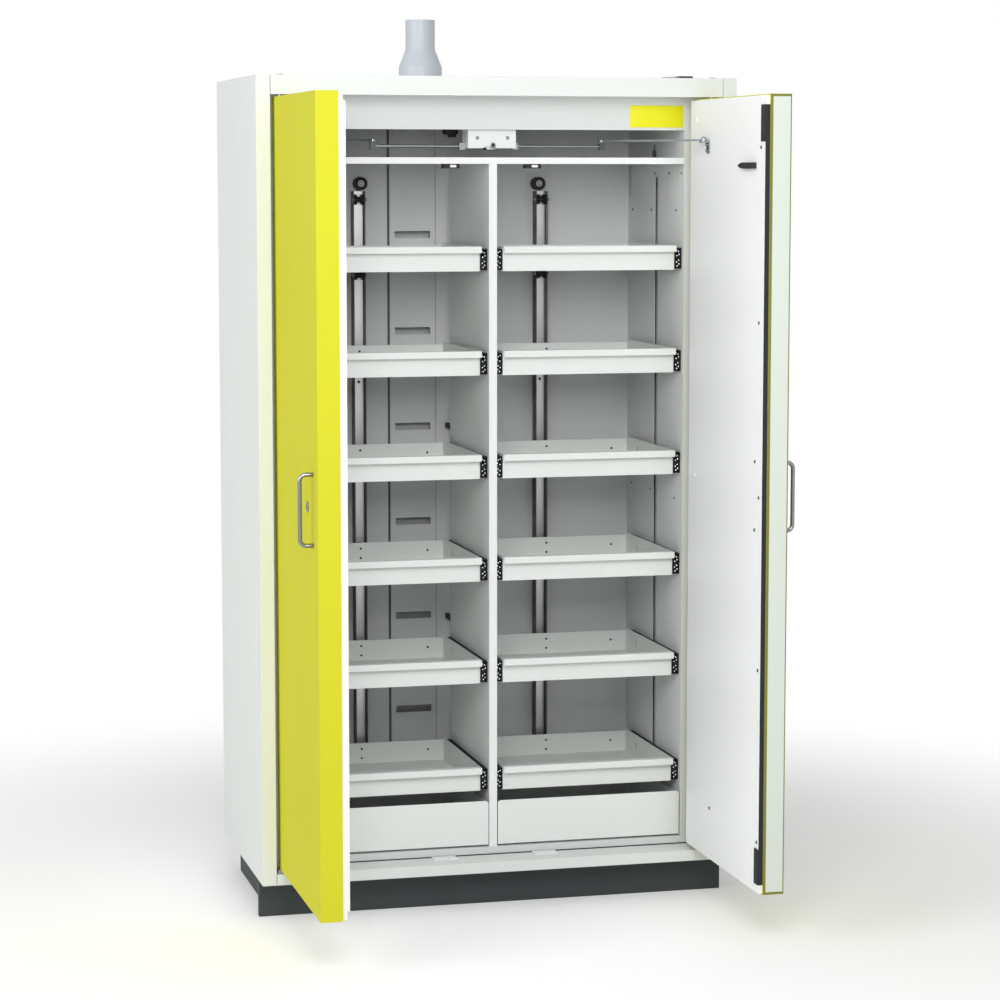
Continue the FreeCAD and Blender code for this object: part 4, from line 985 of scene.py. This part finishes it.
@dataclass
class Leaf(SubAssembly):
    """One door leaf with its handle, screws and edge."""

    title: str = "leaf"
    side: Side = Side.LEFT
    inner_face: float = 490.0
    free_edge: float = -824.7
    # The rim's faces lie within this depth of the free edge, and look forward at least this squarely.
    rim_depth: float = 2.0
    rim_normal: float = -0.9
    liner_groups: tuple[Group, ...] = (
        Group("sheet", LEAF_WHITE, (0, 100, 100)),
        Group("astragal", NYLON_WHITE, (0, 0, 100)),
        Group("bracket", ZINC),
    )
    fitting_groups: tuple[Group, ...] = (
        Group("seals", SEAL_BLACK, (0, 3, 100)),
        Group("strip", EDGE_PALE, (0, 0, 100)),
        Group("latch", NYLON_BLACK),
    )
    # Each screw's and cap's distance behind the casing's front, and its height.
    screws: Points = (
        (-491, 1874.3),
        (-487, 1472.0),
        (-468, 1148.9),
        (-497, 1067.2),
        (-469, 989.2),
        (-502, 663.1),
        (-505, 255.5),
        (-153.8, 262.2),
    )
    caps: Points = ((-15, 1945.1), (-20.8, 1073.4), (-32.2, 195.9), (-482.3, 188.5))
    liner_screw: Turning = Turning(
        "liner_screw", ((4.2, 0.0), (4.2, 0.8), (3.0, 1.8), (1.6, 1.8), (1.4, 1.0)), DARK_STEEL_AND_PAINTED_SHADE, 20
    )
    liner_cap: Turning = Turning(
        "liner_cap", ((4.6, 0.0), (4.6, 0.8), (3.4, 1.9), (1.2, 2.1)), NYLON_WHITE, 20
    )
    joint_cap: Turning = Turning("joint_cap", ((6.5, 0.0), (6.5, 2.0), (5.0, 4.0), (2.0, 5.0)), ZINC)
    joint_place: Corner = (477.0, -413.0, 1898.4)
    bracket_bolt: Turning = Turning(
        "bracket_bolt",
        ((6.0, 0.0), (6.0, 1.2), (4.6, 1.4), (4.6, 3.8), (3.4, 4.8), (1.2, 4.9)),
        STAINLESS,
    )
    bracket_face: float = 487.0
    bolt_levels: tuple[float, float] = (1884.0, 1870.5)

    def build(self) -> None:
        """Dress the leaf."""
        word = self.side.word
        skin = self.divide_node(f"{word}_door_skin", Group("sheet", LEAF_YELLOW))["sheet"]
        if self.side is Side.RIGHT:
            self.dress_rim(skin)
        self.finish_node(f"{word}_door_core", BOARD)
        self.divide_node(f"{word}_door_liner", *self.liner_groups)
        self.divide_node(f"{word}_handle", Group("bar", STAINLESS))
        if self.side is Side.LEFT:
            self.divide_node("lock_cylinder", Group("barrel", LOCK_BRASS))
        else:
            self.divide_node("right_door_fittings", *self.fitting_groups)
        self.small_fittings(word)

    def dress_rim(self, skin: bpy.types.Object) -> None:
        """Paint shade on the narrow rim round the pale strip: its forward faces take the yellow coat
        darkened to olive.

        Args:
            skin: the leaf's yellow sheet.
        """
        skin.data.materials.append(RIM_PAINTED_SHADE.material())
        limit = (self.free_edge + self.rim_depth) * MM
        for face in skin.data.polygons:
            if face.normal.y < self.rim_normal and face.center.y < limit:
                face.material_index = 1

    def small_fittings(self, word: str) -> None:
        """Set the screws and caps of the inner sheet, and the joint cap and bolts of the closer's bracket.

        Args:
            word: left or right.
        """
        hand, door = self.side.value, f"{word}_door"
        facing = Facing.PLUS_X if self.side is Side.LEFT else Facing.MINUS_X
        for turning, points in ((self.liner_screw, self.screws), (self.liner_cap, self.caps)):
            seats = [
                (Vector((hand * self.inner_face, CASING_FRONT + behind, height)), facing)
                for behind, height in points
            ]
            self.fit(turning, seats, f"{word}_{turning.name}s", door)
        across, depth, level = self.joint_place
        cap_seat = [(Vector((hand * across, depth, level)), Facing.PLUS_Z)]
        self.fit(self.joint_cap, cap_seat, f"{word}_joint_cap", door)
        bolts = [(Vector((hand * self.bracket_face, depth, height)), facing) for height in self.bolt_levels]
        self.fit(self.bracket_bolt, bolts, f"{word}_bracket_bolts", door)


@dataclass
class Closer(SubAssembly):
    """Door closer: housing, bars, carriages, links and its small fittings."""

    title: str = "closer"
    housing_groups: tuple[Group, ...] = (
        Group("box", CASING_GREY, (100, 0, 50)),
        Group("bars", ZINC, (100, 0, 0)),
        Group("bearings", ZINC),
    )
    face: float = -213.0
    screw: Turning = Turning(
        "closer_screw", ((4.5, 0.0), (4.5, 0.8), (3.2, 1.8), (1.8, 1.8), (1.5, 1.0)), ZINC, 20
    )
    screw_level: float = 1901.5
    screws_across: tuple[float, float] = (-37.0, 39.0)
    button_place: tuple[float, float] = (2.5, 1884.2)
    ring: Turning = Turning(
        "closer_ring", ((6.4, 0.0), (6.4, 1.2), (5.6, 2.0), (4.2, 2.0), (4.2, 0.8)), ZINC, 28
    )
    button: Turning = Turning(
        "closer_button", ((4.0, 0.0), (4.0, 2.6), (3.0, 3.4), (1.0, 3.6)), NYLON_BLACK
    )
    lever: tuple[Block, ...] = (
        Block("closer_lever", (-15, -217.0, 1871.5), (10, -209.0, 1880.0), ZINC, 2.0),
        Block("closer_lever_tip", (-23, -216.0, 1872.0), (-14, -210.0, 1878.0), NYLON_BLACK, 1.6),
    )

    def build(self) -> None:
        """Dress the closer."""
        self.divide_node("closer_housing", *self.housing_groups)
        for side in Side:
            self.divide_node(f"{side.word}_closer_carriage", Group("block", DARK_STEEL_AND_PAINTED_SHADE))
            self.divide_node(f"{side.word}_closer_link", Group("rod", ZINC))
        self.front_fittings()

    def front_fittings(self) -> None:
        """Set the two screws, the small release button and the lever on the housing's face."""
        screws = [(Vector((x, self.face, self.screw_level)), Facing.MINUS_Y) for x in self.screws_across]
        self.fit(self.screw, screws, "closer_screws")
        across, level = self.button_place
        seat = [(Vector((across, self.face, level)), Facing.MINUS_Y)]
        self.fit(self.ring, seat, "closer_button_ring")
        self.fit(self.button, seat, "closer_button")
        self.add_blocks(*self.lever)


@dataclass(frozen=True)
class Lamp:
    """A large square soft lamp: where it hangs and looks, its side in metres and its watts."""

    name: str
    place: Corner
    aim: Corner
    side: float
    power: float


@dataclass
class Studio:
    """Floor, lamps, world and camera; places and lengths are in metres."""

    floor_reach: float = 60.0
    # The paper lies this far under the feet, so that the two never share a plane.
    floor_drop: float = 0.0005
    paper: str = "#F7F7F7"
    paper_roughness: float = 0.9
    paper_glow: float = 0.19
    # Distances from the cabinet's middle at which the paper starts to fade and is all white.
    paper_fade: tuple[float, float] = (1.0, 2.6)
    white: str = "#FFFFFF"
    ambient: float = 0.44
    camera_place: Corner = (-1.7271, -7.1125, 1.8045)
    camera_pitch: float = 83.646
    camera_yaw: float = -14.21
    lens: float = 104.14
    sensor: float = 36.0
    lamps: tuple[Lamp, ...] = (
        Lamp("left_lamp", (-5.2, -2.7, 3.0), (0.3, -0.4, 1.2), 3.2, 132.0),
        Lamp("front_lamp", (-0.7, -3.6, 2.55), (0.1, 0.0, 1.6), 1.6, 63.0),
    )

    def build(self) -> None:
        """Set up everything round the cabinet."""
        self.floor()
        self.world()
        for lamp in self.lamps:
            self.hang(lamp)
        self.camera()

    def camera_sees(self, tree: bpy.types.NodeTree) -> bpy.types.NodeSocket:
        """Tell rays from the camera, a mirror or glass from all others.

        Args:
            tree: the node tree that needs the factor.

        Returns:
            A factor that is 1 for such rays, else 0.
        """
        rays = add_node(tree, "ShaderNodeLightPath").outputs
        sees = rays["Is Camera Ray"]
        for kind in ("Is Glossy Ray", "Is Transmission Ray"):
            inputs = {0: sees, 1: rays[kind]}
            sees = add_node(tree, "ShaderNodeMath", inputs, operation="MAXIMUM").outputs[0]
        return sees

    def floor(self) -> None:
        """Lay pale paper that keeps the cabinet's shadow and fades to white away from it."""
        clear_selection()
        bpy.ops.mesh.primitive_plane_add(size=self.floor_reach, location=(0, 0, -self.floor_drop))
        floor = bpy.context.object
        floor.name = "studio_floor"
        made = bpy.data.materials.new("studio_paper_white")
        made.use_nodes = True
        tree = made.node_tree
        shader = tree.nodes["Principled BSDF"]
        shader.inputs["Base Color"].default_value = linear(self.paper)
        shader.inputs["Roughness"].default_value = self.paper_roughness
        shader.inputs["Specular IOR Level"].default_value = 0.0
        sees = self.camera_sees(tree)
        glow = add_node(tree, "ShaderNodeMath", {0: sees, 1: self.paper_glow}, operation="MULTIPLY")
        tree.links.new(glow.outputs[0], shader.inputs["Emission Strength"])
        shader.inputs["Emission Color"].default_value = linear(self.white)
        place = add_node(tree, "ShaderNodeTexCoord").outputs["Object"]
        reach = add_node(tree, "ShaderNodeVectorMath", {0: place}, operation="LENGTH").outputs["Value"]
        near, far = self.paper_fade
        span = {"Value": reach, "From Min": near, "From Max": far}
        fade = add_node(tree, "ShaderNodeMapRange", span, interpolation_type="SMOOTHSTEP")
        share = add_node(tree, "ShaderNodeMath", {0: fade.outputs[0], 1: sees}, operation="MULTIPLY")
        blank = add_node(tree, "ShaderNodeEmission", {"Color": linear(self.white), "Strength": 1.0})
        layers = {0: share.outputs[0], 1: shader.outputs[0], 2: blank.outputs[0]}
        mix = add_node(tree, "ShaderNodeMixShader", layers)
        tree.links.new(mix.outputs[0], tree.nodes["Material Output"].inputs["Surface"])
        floor.data.materials.append(made)

    def world(self) -> None:
        """Light the cabinet evenly from all round, and show white behind it."""
        world = bpy.data.worlds.new("studio_world")
        bpy.context.scene.world = world
        world.use_nodes = True
        tree = world.node_tree
        tree.nodes.clear()
        lighting, backdrop = (
            add_node(tree, "ShaderNodeBackground", {"Color": linear(self.white), "Strength": strength})
            for strength in (self.ambient, 1.0)
        )
        layers = {0: self.camera_sees(tree), 1: lighting.outputs[0], 2: backdrop.outputs[0]}
        mix = add_node(tree, "ShaderNodeMixShader", layers)
        add_node(tree, "ShaderNodeOutputWorld", {"Surface": mix.outputs[0]})

    def hang(self, lamp: Lamp) -> None:
        """Hang one lamp.

        Args:
            lamp: the lamp to hang.
        """
        data = bpy.data.lights.new(lamp.name, "AREA")
        data.size = lamp.side
        data.energy = lamp.power
        hung = bpy.data.objects.new(lamp.name, data)
        bpy.context.scene.collection.objects.link(hung)
        hung.location = lamp.place
        sight = Vector(lamp.aim) - Vector(lamp.place)
        hung.rotation_euler = sight.to_track_quat("-Z", "Y").to_euler()

    def camera(self) -> None:
        """Stand the camera where the photograph was taken."""
        data = bpy.data.cameras.new("studio_camera")
        data.sensor_width = self.sensor
        data.lens = self.lens
        camera = bpy.data.objects.new("studio_camera", data)
        bpy.context.scene.collection.objects.link(camera)
        camera.location = self.camera_place
        camera.rotation_euler = (math.radians(self.camera_pitch), 0.0, math.radians(self.camera_yaw))
        bpy.context.scene.camera = camera


def main() -> None:
    """Build the dressed cabinet and its studio."""
    logging.basicConfig(level=logging.INFO, format="%(name)s: %(message)s")
    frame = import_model()
    bpy.context.scene.view_settings.view_transform = "Standard"
    assemblies: list[SubAssembly] = [
        Casing(frame),
        Chamber(frame),
        TrayStack(frame),
        Leaf(frame, side=Side.LEFT),
        Leaf(frame, side=Side.RIGHT),
        Closer(frame),
    ]
    for assembly in assemblies:
        assembly.build()
        LOG.info("%s is dressed", assembly.title)
    Studio().build()
    clear_selection()


if __name__ == "__main__":
    main()
